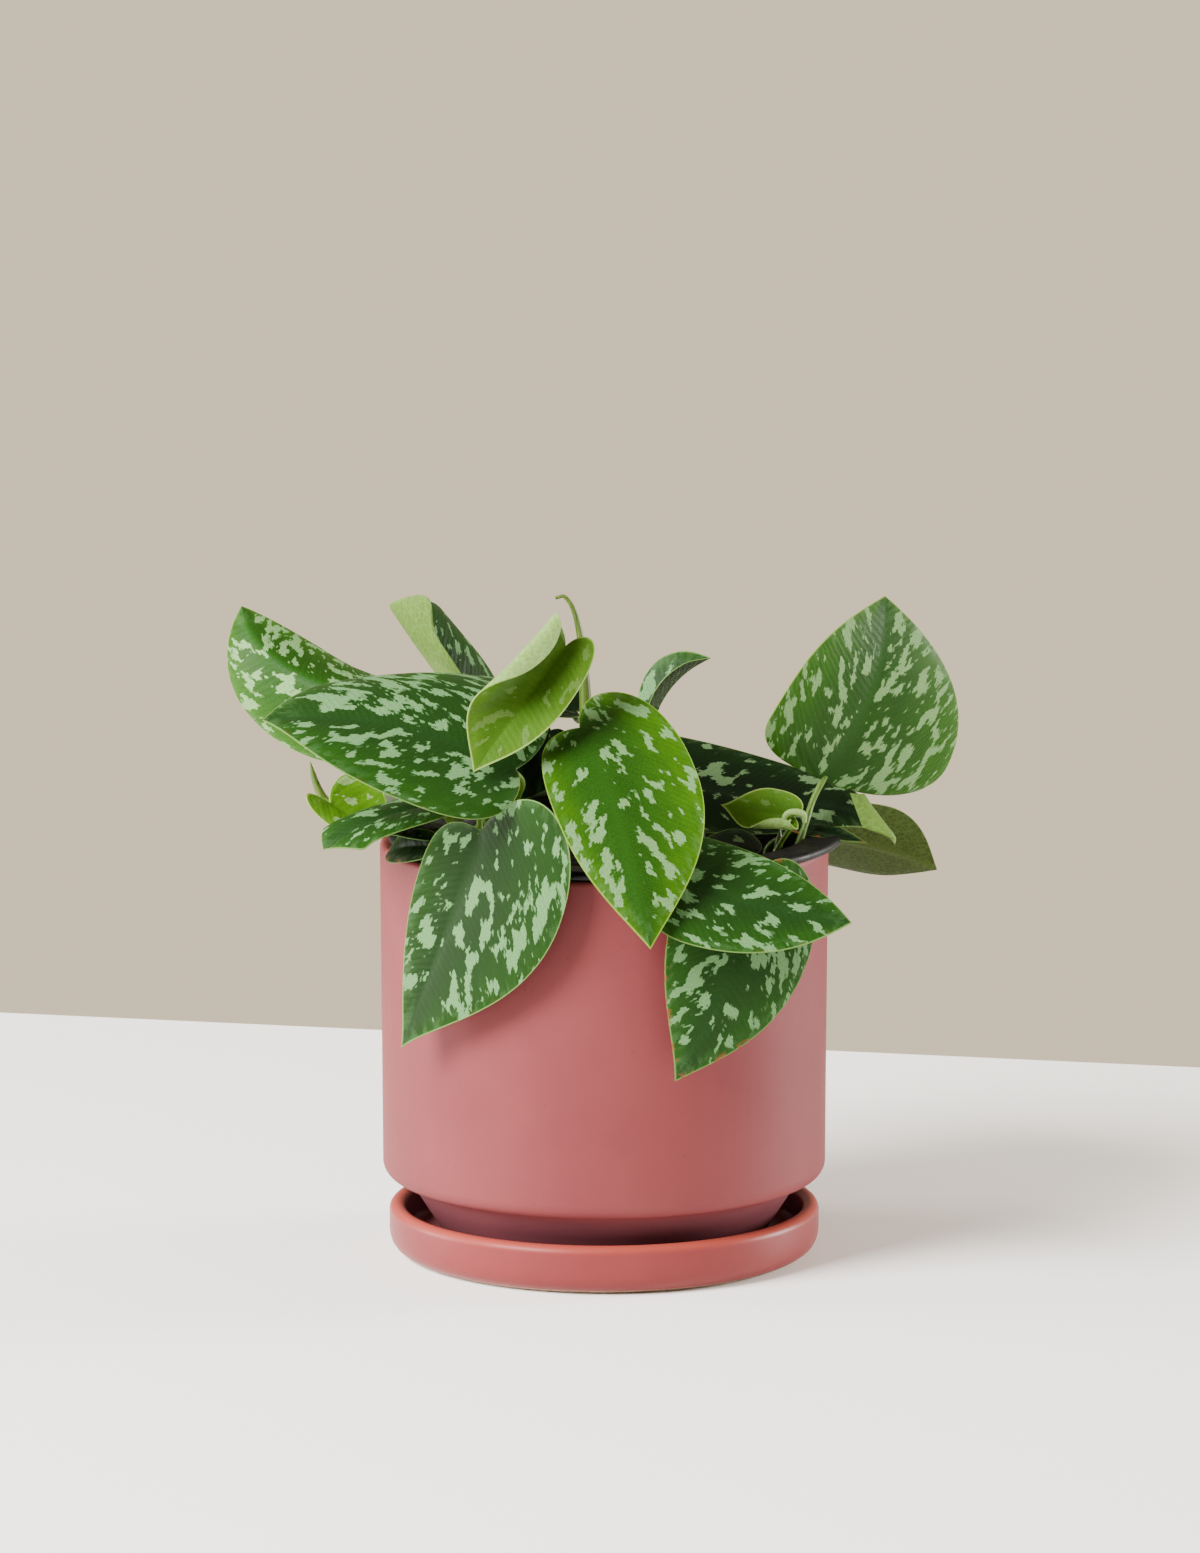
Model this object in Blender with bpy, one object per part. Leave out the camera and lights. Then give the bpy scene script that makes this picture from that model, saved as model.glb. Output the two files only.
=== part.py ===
"""Satin pothos in a nursery pot, standing in a glazed cylinder pot with its saucer.

Run with: blender --background --python part.py
The origin is on the pot's axis, at the underside of the saucer. X runs to the right, Y to the back.
"""
import math
import random

import bmesh
import bpy
from mathutils import Matrix, Vector

MM = 0.001
TOUCH = 0.3          # the gap left between pieces that rest on each other, in millimetres

# Driving sizes, in millimetres
POT_RADIUS = 65.0
POT_FOOT_TAPER = 0.6
POT_WALL = 4.5
POT_RIM_Z = 121.4
POT_BODY_Z = 22.7
POT_EDGE = 4.5
POT_FLOOR_Z = 12.0
FOOT_TOP_RADIUS = 57.5
FOOT_BASE_RADIUS = 46.0
DRAIN_RADIUS = 6.0
SAUCER_RADIUS = 62.6
SAUCER_HEIGHT = 14.6
SAUCER_WALL = 4.8
SAUCER_FLOOR_Z = 4.6
SAUCER_BASE_RADIUS = 57.0
LINER_SHIFT_X = 3.3
LINER_RADIUS = 56.8
LINER_BASE_RADIUS = 42.0
LINER_WALL = 1.3
LIP_RADIUS = 66.0
LIP_HEIGHT = 2.8
SOIL_Z = 115.0
SOIL_LUMP = 1.1
HOLE_DEPTH = 13.0
ROUND_SIDES = 40
BLADE_THICKNESS = 0.8
STALK_RADIUS = 1.1
STALK_SIDES = 6
VINE_RADIUS = 2.0
ROLL_LIMIT = math.radians(200)
VINE_SIDES = 8

FOOT_Z = SAUCER_FLOOR_Z + TOUCH
LIP_Z = POT_RIM_Z + TOUCH
LINER_BASE_Z = POT_FLOOR_Z + TOUCH

# Each vine: its centreline from the bottom of its hole in the soil, in millimetres
VINES = {
    "vine_front_left": [(-25, -22, 117), (-27, -32, 127), (-27, -40, 137), (-25, -45, 143)],
    "vine_left": [(-38, -6, 117), (-41, -7, 124), (-48, -8, 134), (-57, -9, 143)],
    "vine_centre": [(-3, -13, 117), (-4, -14, 134), (-5, -15, 155), (-6, -15, 176), (-8, -15, 189),
                    (-11, -15, 195), (-14, -15, 195)],
    "vine_front_right": [(22, -28, 118), (22.6, -29, 121), (25, -33, 124)],
    "vine_right_back": [(29, 17, 117), (32, 19, 123), (36, 22, 127), (41, 25, 129)],
    "vine_back": [(-8, 29, 117), (-7, 32, 123), (-5, 35, 128), (-1, 38, 133)],
}

# Each leaf: where the stalk meets the blade, the tip, which way the upper side faces, and its shape.
# Pairs give the half on the left of the midrib first, as seen from the upper side with the tip up.
LEAVES = [
    dict(name="leaf_front_centre", base=(-7, -46, 162.6), tip=(13, -92, 107.6), facing=(0.17, -0.86, 0.4), width=49,
         lobes=(0.2, 0.01), widest=0.33, blunt=0.71, arch=0.09, cup=(-6, -6), curl=(11, 10),
         halves=(1.11, 0.66), foot=("vine_centre", 0.3)),
    dict(name="leaf_front_left", base=(-35, -56, 134.8), tip=(-58, -52, 70.8), facing=(-0.53, -0.84, 0.11),
         width=61, lobes=(0.24, 0), widest=0.21, blunt=0.37, arch=-0.01, cup=(10, -1), curl=(-16, -9),
         halves=(1.14, 0.5), columns=3, foot=(-30, -36), stalk=[(-35, -48, 136)]),
    dict(name="leaf_left_front", base=(-25, -58, 153), tip=(-97, -53, 166), facing=(-0.01, -0.73, 0.68),
         width=61, lobes=(0.05, 0.07), widest=0.38, blunt=0.92, arch=0.09, sweep=-0.03, cup=(4, 16),
         curl=(-30, -53), halves=(0.82, 1.43), twist=-34, foot=("vine_front_left", 1)),
    dict(name="leaf_left_back", base=(-69, -8, 165), tip=(-107, 26, 186), facing=(-0.51, -0.79, 0.23), width=46,
         lobes=(0.06, 0.12), widest=0.25, blunt=1.33, arch=0.1, sweep=0.1, cup=(0, -53), curl=(-42, -42),
         halves=(1.03, 0.91), hook=12, columns=3, foot=("vine_left", 1)),
    dict(name="leaf_young_rolled", base=(-11, -44, 186), tip=(-37, -69, 154), facing=(0.15, -0.9, 0.35),
         width=30, lobes=(0.14, 0.1), widest=0.35, arch=0.02, cup=(15, 8), curl=(10, 170), curl_tip=(0, -150),
         late=(1, 2), halves=(0.74, 1.35), columns=4, foot=("vine_centre", 0.52)),
    dict(name="leaf_top_folded", base=(-36, 4, 154.3), tip=(-61, 7, 189.3), facing=(0.91, -0.17, 0.25), width=41,
         lobes=(0.17, 0.2), widest=0.62, blunt=2.96, arch=0, sweep=0.08, cup=(16, 38), curl=(19, -27),
         curl_tip=(26, -46), halves=(1.3, 1.04), twist=16, foot=("vine_left", 0.5)),
    dict(name="leaf_right_upright", base=(63, -6, 140), tip=(81, 0, 193), facing=(0.19, -0.96, 0.12), width=62,
         lobes=(-0.02, 0), widest=0.25, blunt=0.83, arch=0.12, sweep=-0.06, cup=(30, -22), curl=(-5, -12),
         halves=(0.98, 1.28), columns=3, foot=(51.5, -15.5)),
    dict(name="leaf_right_dark", base=(17, 4, 138.4), tip=(95, -3, 130.4), facing=(0.13, -0.48, 0.84), width=39,
         lobes=(0.1, 0.1), widest=0.02, blunt=0.14, arch=-0.03, curl=(5, -21), halves=(1, 0.9), hook=68,
         foot=("vine_right_back", 0.35)),
    dict(name="leaf_right_low", base=(62, 38, 115), tip=(98, 44, 104), facing=(0.1, 0.76, 0.59), width=36,
         lobes=(0.12, 0.12), widest=0.41, blunt=0.78, arch=0.07, cup=(9, 1), curl=(9, -2), halves=(0.99, 1),
         foot=("vine_right_back", 1), stalk=[(48, 34, 130), (56, 41, 126)]),
    dict(name="leaf_front_right", base=(20, -73, 123), tip=(70, -76, 112), facing=(0, -0.7, 0.7), width=43,
         lobes=(0.12, 0.12), widest=0.16, blunt=0.77, arch=-0.02, sweep=-0.02, cup=(-3, 9), curl=(-17, -23),
         halves=(0.99, 0.85), foot=(13, -40), stalk=[(16, -52, 128), (19, -64, 126)]),
    dict(name="leaf_front_right_hanging", base=(42, -60, 120), tip=(20, -71, 65), facing=(0.27, -0.94, 0.09),
         width=42, lobes=(0.16, 0.08), widest=0.2, blunt=0.46, arch=0.09, sweep=0.03, cup=(-4, -4),
         curl=(-6, 8), halves=(1.06, 1.05), foot=("vine_front_right", 1),
         stalk=[(28.5, -42, 127), (31, -51, 127.2), (37, -59, 126)]),
    dict(name="leaf_back_small", base=(14, 20, 155), tip=(31, 22, 171), facing=(-0.61, -0.16, 0.75), width=17,
         lobes=(0.06, 0.06), widest=0.44, blunt=0.94, arch=0.11, sweep=0.01, cup=(46, 28), curl=(5, 14),
         halves=(0.95, 1.02), foot=(-4, 25), stalk=[(1, 25, 140)]),
    dict(name="leaf_young_furled", base=(56, -30, 133.8), tip=(33.3, -30, 137.4), facing=(0.05, -0.88, 0.45),
         width=15, lobes=(0.1, 0.12), widest=0.3, blunt=0.2, arch=-0.05, cup=(10, 8), curl=(122, 20),
         curl_tip=(-100, 0), late=(2, 1), halves=(1.35, 0.98), columns=5, foot=(48, -24)),
    dict(name="leaf_young_left", base=(-79, -14, 135), tip=(-60, -12, 125.5), facing=(0.1, -0.48, 0.86), width=25,
         lobes=(0.08, 0.38), widest=0.36, arch=-0.05, cup=(18, -4), curl=(11, 3), halves=(1.1, 0.69),
         foot=("vine_left", 0.7)),
    dict(name="leaf_left_narrow", base=(-44, -30, 138), tip=(-81, -44, 129), facing=(-0.02, -0.14, 0.99),
         width=27, lobes=(0.12, 0.12), widest=0.72, blunt=1.88, arch=0.04, sweep=-0.01, cup=(12, 10),
         curl=(-22, -35), halves=(1.07, 1.08), hook=18, foot=("vine_front_left", 0.6)),
    dict(name="leaf_left_inner", base=(-40, -31, 127.5), tip=(-63, -34, 129.5), facing=(0, -0.2, 0.98), width=16,
         lobes=(0.12, 0.12), widest=0.4, arch=0.08, foot=("vine_front_left", 0.35)),
    dict(name="leaf_right_inner", base=(43, -22, 121.3), tip=(25, -20, 121.3), facing=(0, -0.3, 1), width=22,
         lobes=(0.12, 0.12), widest=0.4, arch=0.06, cup=(4, 4), curl=(5, 5), foot=(45, -19)),
    dict(name="leaf_centre_behind", base=(-21, -8, 167), tip=(-27, -14, 150), facing=(0.1, -0.9, 0.3), width=12,
         lobes=(0.2, 0.2), widest=0.35, arch=0.04, cup=(10, 10), curl=(10, 10), foot=("vine_left", 0.36)),
    dict(name="leaf_centre_flat", base=(-8, 6, 158), tip=(-25, 12, 159), facing=(0, -0.3, 1), width=22,
         lobes=(0.12, 0.12), widest=0.35, arch=0.04, cup=(10, 10), curl=(10, 10), foot=("vine_centre", 0.4)),
    dict(name="leaf_rear_left", base=(-34, 34, 140), tip=(-60, 64, 113), facing=(-0.5, 0.6, 0.6), width=40,
         lobes=(0.14, 0.14), widest=0.3, arch=0.1, cup=(8, 8), curl=(10, 10), foot=(-28, 26)),
    dict(name="leaf_rear_centre", base=(-2, 48, 141), tip=(6, 90, 95), facing=(0, 0.9, 0.35), width=44,
         lobes=(0.14, 0.14), widest=0.3, arch=0.16, cup=(8, 8), curl=(10, 10), foot=("vine_back", 1)),
    dict(name="leaf_rear_right", base=(35, 47, 130), tip=(58, 80, 90), facing=(0.4, 0.85, 0.3), width=42,
         lobes=(0.14, 0.14), widest=0.3, arch=0.16, cup=(8, 8), curl=(10, 10), foot=(26, 32)),
    dict(name="leaf_rear_side", base=(-48, 14, 131), tip=(-78, 32, 117), facing=(-0.2, 0.1, 0.97), width=32,
         lobes=(0.14, 0.14), widest=0.3, arch=0.1, cup=(8, 8), curl=(10, 10), foot=(-42, 12)),
]


def millimetres(point):
    """A point given in millimetres, in metres."""
    return Vector(point) * MM


def material(name, colour, roughness, coat=0.0):
    """A plain Principled material."""
    mat = bpy.data.materials.new(name)
    mat.use_nodes = True
    shader = mat.node_tree.nodes["Principled BSDF"]
    shader.inputs["Base Color"].default_value = (*colour, 1.0)
    shader.inputs["Roughness"].default_value = roughness
    shader.inputs["Metallic"].default_value = 0.0
    shader.inputs["Coat Weight"].default_value = coat
    return mat


def new_object(name, mesh, mat=None):
    """Link a mesh to the scene as a named object, with an optional material."""
    ob = bpy.data.objects.new(name, mesh)
    bpy.context.collection.objects.link(ob)
    if mat:
        mesh.materials.append(mat)
    return ob


def mesh_from(name, verts, faces):
    """A mesh from points in millimetres and faces, with its normals made to point outwards."""
    bm = bmesh.new()
    made = [bm.verts.new(millimetres(v)) for v in verts]
    for face in faces:
        bm.faces.new([made[i] for i in face])
    bmesh.ops.recalc_face_normals(bm, faces=bm.faces)
    mesh = bpy.data.meshes.new(name)
    bm.to_mesh(mesh)
    bm.free()
    return mesh


def turned(name, profile, mat, centre=(0, 0), smooth=35):
    """A closed solid turned about Z from a profile of (radius, height), outer side first."""
    verts = []
    faces = []
    rings = []
    for radius, height in profile:
        if radius < 1e-6:
            rings.append([len(verts)])
            verts.append((centre[0], centre[1], height))
            continue
        ring = []
        for k in range(ROUND_SIDES):
            angle = 2 * math.pi * k / ROUND_SIDES
            ring.append(len(verts))
            verts.append((centre[0] + radius * math.cos(angle), centre[1] + radius * math.sin(angle), height))
        rings.append(ring)
    closed = rings + [rings[0]] if profile[0][0] > 1e-6 else rings
    for lower, upper in zip(closed, closed[1:]):
        for k in range(ROUND_SIDES):
            n = (k + 1) % ROUND_SIDES
            if len(lower) == 1:
                faces.append((lower[0], upper[k], upper[n]))
            elif len(upper) == 1:
                faces.append((lower[k], upper[0], lower[n]))
            else:
                faces.append((lower[k], upper[k], upper[n], lower[n]))
    ob = new_object(name, mesh_from(name, verts, faces), mat)
    ob.data.shade_smooth()
    ob.data.set_sharp_from_angle(angle=math.radians(smooth))
    return ob


def arc(centre_r, centre_z, radius, start, end, steps):
    """Points of a round edge in a turned profile, from start to end in degrees."""
    points = []
    for k in range(steps + 1):
        angle = math.radians(start + (end - start) * k / steps)
        points.append((centre_r + radius * math.cos(angle), centre_z + radius * math.sin(angle)))
    return points


def drill(target, centre, radius, low, high):
    """Cut a round hole along Z through or into the target."""
    bpy.ops.mesh.primitive_cylinder_add(
        vertices=10, radius=radius * MM, depth=(high - low) * MM,
        location=millimetres((centre[0], centre[1], (low + high) / 2)))
    cutter = bpy.context.object
    cutter.name = "hole_cutter"
    combine(target, cutter, "DIFFERENCE")


def combine(target, other, operation):
    """Apply a Boolean with one other object, which is then removed."""
    step = target.modifiers.new("combine", "BOOLEAN")
    step.operation = operation
    step.object = other
    result = None
    for solver in ("EXACT", "MANIFOLD"):
        step.solver = solver
        bpy.context.view_layer.update()
        evaluated = target.evaluated_get(bpy.context.evaluated_depsgraph_get())
        result = bpy.data.meshes.new_from_object(evaluated)
        if len(result.polygons) > 0:
            break
    target.modifiers.clear()
    old = target.data
    target.data = result
    result.name = target.name
    bpy.data.meshes.remove(old)
    bpy.data.objects.remove(other)


def make_saucer(mat):
    """The saucer: a flat clay base, a straight low wall with a round lip and a flat floor."""
    lip = SAUCER_WALL / 2
    inner = SAUCER_RADIUS - SAUCER_WALL
    profile = [(0, 0), (SAUCER_BASE_RADIUS, 0), (SAUCER_RADIUS - 3.2, 1.0)]
    profile += [(SAUCER_RADIUS - 0.8, 2.8), (SAUCER_RADIUS, 5.4)]
    profile += arc(SAUCER_RADIUS - lip, SAUCER_HEIGHT - lip, lip, 0, 180, 6)
    profile += [(inner, SAUCER_FLOOR_Z + 2.4), (inner - 2.2, SAUCER_FLOOR_Z), (0, SAUCER_FLOOR_Z)]
    return turned("saucer", profile, mat)


def make_pot(mat):
    """The cylinder pot: tapered foot, rounded lower edge, straight wall, round lip, drain hole."""
    low = POT_RADIUS - POT_FOOT_TAPER
    inner = POT_RADIUS - POT_WALL
    profile = [(DRAIN_RADIUS, FOOT_Z), (FOOT_BASE_RADIUS, FOOT_Z), (FOOT_BASE_RADIUS + 1.2, FOOT_Z + 1.0)]
    profile += [(FOOT_TOP_RADIUS, POT_BODY_Z)]
    profile += arc(low - POT_EDGE, POT_BODY_Z + POT_EDGE, POT_EDGE, -90, 0, 4)
    profile += arc(POT_RADIUS - 1.5, POT_RIM_Z - 1.5, 1.5, 0, 90, 3)
    profile += arc(inner + 1.5, POT_RIM_Z - 1.5, 1.5, 90, 180, 3)
    profile += [(inner, POT_BODY_Z + 7), (inner - 2.0, POT_BODY_Z + 4.5), (FOOT_TOP_RADIUS - POT_WALL, POT_BODY_Z)]
    profile += [(FOOT_BASE_RADIUS, POT_FLOOR_Z), (DRAIN_RADIUS, POT_FLOOR_Z)]
    return turned("pot", profile, mat)


def make_liner(mat):
    """The thin nursery pot, whose lip rests on the pot's rim, with four drain holes."""
    flange = LIP_Z + LIP_HEIGHT
    inner = LINER_RADIUS - LINER_WALL
    profile = [(0, LINER_BASE_Z), (LINER_BASE_RADIUS - 1.5, LINER_BASE_Z), (LINER_BASE_RADIUS, LINER_BASE_Z + 1.5)]
    profile += [(LINER_RADIUS, LIP_Z - 4), (LINER_RADIUS + 0.2, LIP_Z)]
    profile += arc(LIP_RADIUS - 1.4, LIP_Z + 1.4, 1.4, -90, 90, 4)
    profile += [(inner + 1.2, flange), (inner, flange - 1.2)]
    profile += [(LINER_BASE_RADIUS - LINER_WALL, LINER_BASE_Z + LINER_WALL + 1)]
    profile += [(LINER_BASE_RADIUS - LINER_WALL - 1.2, LINER_BASE_Z + LINER_WALL), (0, LINER_BASE_Z + LINER_WALL)]
    liner = turned("nursery_pot", profile, mat, centre=(LINER_SHIFT_X, 0))
    for k in range(4):
        angle = math.radians(45 + 90 * k)
        centre = (LINER_SHIFT_X + 34 * math.cos(angle), 34 * math.sin(angle))
        drill(liner, centre, 4.0, LINER_BASE_Z - 3, LINER_BASE_Z + 6)
    return liner


def make_soil(mat, holes):
    """The potting mix: fills the nursery pot, with a lumpy top and plain holes for the stems."""
    chance = random.Random(4)
    base_z = LINER_BASE_Z + LINER_WALL + TOUCH
    base_radius = LINER_BASE_RADIUS - LINER_WALL - TOUCH - 1.6
    slope = (LINER_RADIUS - LINER_BASE_RADIUS) / (LIP_Z - 4 - LINER_BASE_Z)
    top_radius = base_radius + slope * (SOIL_Z - base_z)
    rings = 6
    verts = [(LINER_SHIFT_X, 0, base_z)]
    faces = []
    radii = [(base_radius, base_z, 0), (top_radius, SOIL_Z - 1, 0)]
    radii += [(top_radius * (rings - k) / rings, SOIL_Z + 2.2 * k / rings, SOIL_LUMP) for k in range(1, rings)]
    for radius, height, lump in radii:
        for k in range(ROUND_SIDES // 2):
            angle = 4 * math.pi * k / ROUND_SIDES
            z = height + chance.uniform(-lump, lump)
            verts.append((LINER_SHIFT_X + radius * math.cos(angle), radius * math.sin(angle), z))
    verts.append((LINER_SHIFT_X, 0, SOIL_Z + 2.2))
    sides = ROUND_SIDES // 2
    for k in range(sides):
        n = (k + 1) % sides
        faces.append((0, 1 + n, 1 + k))
        for ring in range(len(radii) - 1):
            a = 1 + ring * sides
            b = a + sides
            faces.append((a + k, a + n, b + n))
            faces.append((a + k, b + n, b + k))
        last = 1 + (len(radii) - 1) * sides
        faces.append((last + k, last + n, len(verts) - 1))
    soil = new_object("soil", mesh_from("soil", verts, faces), mat)
    for centre, radius in holes:
        drill(soil, centre, radius + TOUCH + 0.05, SOIL_Z - HOLE_DEPTH, SOIL_Z + 8)
    return soil


def cubic(points, t):
    """A point on the cubic curve through four control points."""
    s = 1 - t
    a, b, c, d = points
    return a * s ** 3 + b * (3 * s * s * t) + c * (3 * s * t * t) + d * t ** 3


def smooth_route(points, steps):
    """A smooth centreline through hand-placed points, with steps points to each stretch."""
    route = [Vector(p) for p in points]
    ends = [route[0] * 2 - route[1]] + route + [route[-1] * 2 - route[-2]]
    result = []
    for k in range(len(route) - 1):
        before, start, end, after = ends[k:k + 4]
        controls = (start, start + (end - before) / 6, end - (after - start) / 6, end)
        result += [cubic(controls, j / steps) for j in range(steps)]
    return result + [route[-1]]


def tube(name, route, radii, sides):
    """A closed round tube along a centreline, with a radius for each point."""
    verts = []
    faces = []
    up = Vector((0.31, 0.17, 0.93))
    for k, point in enumerate(route):
        along = (route[min(k + 1, len(route) - 1)] - route[max(k - 1, 0)]).normalized()
        across = (up - along * up.dot(along)).normalized()
        up = across
        other = along.cross(across)
        for j in range(sides):
            angle = 2 * math.pi * j / sides
            verts.append(point + (across * math.cos(angle) + other * math.sin(angle)) * radii[k])
    last = (len(route) - 1) * sides
    faces.append(list(range(sides)))
    faces.append([last + j for j in range(sides)])
    for k in range(len(route) - 1):
        for j in range(sides):
            n = (j + 1) % sides
            a = k * sides
            faces.append((a + j, a + n, a + sides + n, a + sides + j))
    return mesh_from(name, verts, faces)


def vine_route(name, steps=4):
    """A vine's centreline: straight in its hole in the soil, then smooth to the tip."""
    first = Vector(VINES[name][0])
    return [Vector((first.x, first.y, SOIL_Z - HOLE_DEPTH + 2))] + smooth_route(VINES[name], steps)


def make_vine(name, mat):
    """A vine: a round stem from its hole in the soil, tapering to its growing tip."""
    route = vine_route(name)
    radii = []
    for k in range(len(route)):
        along = k / (len(route) - 1)
        radii.append(VINE_RADIUS * (1 - 0.75 * max(0, along - 0.3) ** 1.3))
    if name == "vine_centre":
        radii = [r if route[k].z < 160 else max(0.5, r * (1 - (route[k].z - 160) / 60)) for k, r in enumerate(radii)]
    vine = new_object(name, tube(name, route, radii, VINE_SIDES), mat)
    vine.data.shade_smooth()
    return vine, radii


def half_outline(width, lobe, widest, blunt, rows):
    """One half of a flat leaf of unit length: margin points, and where each row leaves the midrib."""
    lobe_rows = rows // 2
    tip_rows = rows - lobe_rows
    half = width / 2
    back = [Vector(p) for p in ((0, 0), (-1.5 * lobe, 0.2 * half), (-1.25 * lobe - 0.02, half), (widest, half))]
    rest = 1 - widest
    front = [Vector(p) for p in ((widest, half), (widest + 0.52 * rest, half), (0.83, 0.62 * blunt * half), (1, 0))]
    margin = [(cubic(back, k / lobe_rows), 0.1 * (k / lobe_rows) ** 1.3) for k in range(lobe_rows + 1)]
    for k in range(1, tip_rows + 1):
        t = k / tip_rows
        margin.append((cubic(front, t), 0.1 + 0.9 * t ** 1.08))
    return margin


class Blade:
    """A leaf blade: a flat heart shape laid on an arched midrib and cupped to either side."""

    def __init__(self, spec):
        self.spec = spec
        self.base = Vector(spec["base"])
        chord = Vector(spec["tip"]) - self.base
        self.length = chord.length
        self.along = chord.normalized()
        facing = Vector(spec["facing"])
        self.normal = (facing - self.along * facing.dot(self.along)).normalized()
        self.side = self.normal.cross(self.along)

    def midrib(self, u):
        """A point of the midrib, with u from 0 at the stalk to 1 at the tip."""
        spec = self.spec
        length = self.length
        bow = 4 * length * u * (1 - u)
        bend = math.radians(spec.get("hook", 0))
        late = min(max((u - 0.6) / 0.4, 0), 1) ** 2
        point = self.base + self.along * (u * length)
        point += self.normal * (bow * spec.get("arch", 0)) + self.side * (bow * spec.get("sweep", 0))
        point -= self.normal * (0.2 * length * math.sin(bend) * late)
        point -= self.along * (0.2 * length * (1 - math.cos(bend)) * late)
        return point

    def frame(self, u):
        """The midrib point at u, its direction, the upper side's direction and the side direction."""
        step = 0.01
        ahead = (self.midrib(u + step) - self.midrib(u - step)).normalized()
        upper = (self.normal - ahead * self.normal.dot(ahead)).normalized()
        side = upper.cross(ahead)
        turn = math.radians(self.spec.get("twist", 0)) * u
        return (self.midrib(u), ahead, upper * math.cos(turn) + side * math.sin(turn),
                side * math.cos(turn) - upper * math.sin(turn))

    def half(self, index, rows, columns):
        """A grid of points of one half, from the midrib out to the margin."""
        spec = self.spec
        sign = 1 if index == 0 else -1
        cup = math.radians(spec.get("cup", (0, 0))[index])
        curl = math.radians(spec.get("curl", (0, 0))[index])
        curl_tip = math.radians(spec.get("curl_tip", (0, 0))[index])
        late = spec.get("late", (1, 1))[index]
        reach = spec.get("halves", (1, 1))[index]
        width = spec["width"] / self.length
        margin = half_outline(width, spec["lobes"][index], spec["widest"], spec.get("blunt", 0.6), rows)
        grid = []
        for edge, start in margin:
            row = []
            for j in range(columns + 1):
                v = j / columns
                u = start + (edge.x - start) * v ** 1.25
                point, ahead, upper, side = self.frame(u)
                out = 0.0
                rise = 0.0
                pieces = 8
                distance = edge.y * v * reach
                for k in range(pieces):
                    x = distance * (k + 0.5) / pieces
                    angle = min(cup + (curl + curl_tip * max(u, 0)) * (x / (width / 2)) ** late, ROLL_LIMIT)
                    out += math.cos(angle) * distance / pieces
                    rise += math.sin(angle) * distance / pieces
                row.append(point + (side * (sign * out) + upper * rise) * self.length)
            grid.append(row)
        return grid

    def solid(self, rows, columns, thickness):
        """The blade as a closed solid: upper and under side split alike, joined round the margin."""
        halves = [self.half(0, rows, columns), self.half(1, rows, columns)]
        points = []
        ids = {}
        for h, grid in enumerate(halves):
            for i, row in enumerate(grid):
                for j, point in enumerate(row):
                    if i in (0, rows):
                        key = (0, i, 0)
                    elif j == 0:
                        key = (0, i, 0)
                    else:
                        key = (h, i, j)
                    if key not in ids:
                        ids[key] = len(points)
                        points.append(point)
                    ids[(h, i, j)] = ids[key]
        triangles = []
        for h in (0, 1):
            for i in range(rows):
                for j in range(columns):
                    a = ids[(h, i, j)]
                    b = ids[(h, i + 1, j)]
                    c = ids[(h, i + 1, j + 1)]
                    d = ids[(h, i, j + 1)]
                    for tri in ((a, b, c), (a, c, d)):
                        if len(set(tri)) == 3:
                            triangles.append(tri if h == 1 else tri[::-1])
        normals = [Vector() for _ in points]
        for a, b, c in triangles:
            across = (points[b] - points[a]).cross(points[c] - points[a])
            for k in (a, b, c):
                normals[k] += across
        half = thickness / 2
        upper = [p + n.normalized() * half for p, n in zip(points, normals)]
        under = [p - n.normalized() * half for p, n in zip(points, normals)]
        count = len(points)
        faces = list(triangles) + [(c + count, b + count, a + count) for a, b, c in triangles]
        rim = [ids[(0, i, columns)] for i in range(rows + 1)]
        rim += [ids[(1, i, columns)] for i in range(rows - 1, 0, -1)]
        for a, b in zip(rim, rim[1:] + rim[:1]):
            faces.append((a, b, b + count))
            faces.append((a, b + count, a + count))
        return upper + under, faces


def stalk_route(blade, spec, vines):
    """The leaf stalk's centreline, from the vine or the soil up to the blade's notch."""
    foot = spec["foot"]
    point, ahead, upper, side = blade.frame(0)
    end = point - upper * 0.2 + ahead * 1.2
    passing = [Vector(p) for p in spec.get("stalk", [])]
    ground = []
    if isinstance(foot[0], str):
        route, radii = vines[foot[0]]
        place = foot[1] * (len(route) - 1)
        k = min(int(place), len(route) - 2)
        along = (route[k + 1] - route[k]).normalized()
        if foot[1] == 1:
            ground = [route[-1] + along * (TOUCH + 0.2)]
            start = ground[0] + along * 3
            lead = along
        else:
            centre = route[k].lerp(route[k + 1], place - k)
            lead = (passing + [end])[0] - centre
            lead = (lead - along * lead.dot(along)).normalized()
            start = centre + lead * (radii[k] + TOUCH + 0.1)
    else:
        ground = [Vector((foot[0], foot[1], SOIL_Z - HOLE_DEPTH + 2))]
        start = Vector((foot[0], foot[1], SOIL_Z + 2.5))
        lead = Vector((0, 0, 1))
    if passing:
        return ground + smooth_route([start] + passing + [end], 3)
    reach = (end - start).length
    meet = (-ahead * 0.4 - upper * 0.6).normalized()
    controls = (start, start + lead * (0.4 * reach), end + meet * (0.35 * reach), end)
    steps = max(4, round(reach / 7))
    return ground + [cubic(controls, k / steps) for k in range(steps + 1)]


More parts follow.
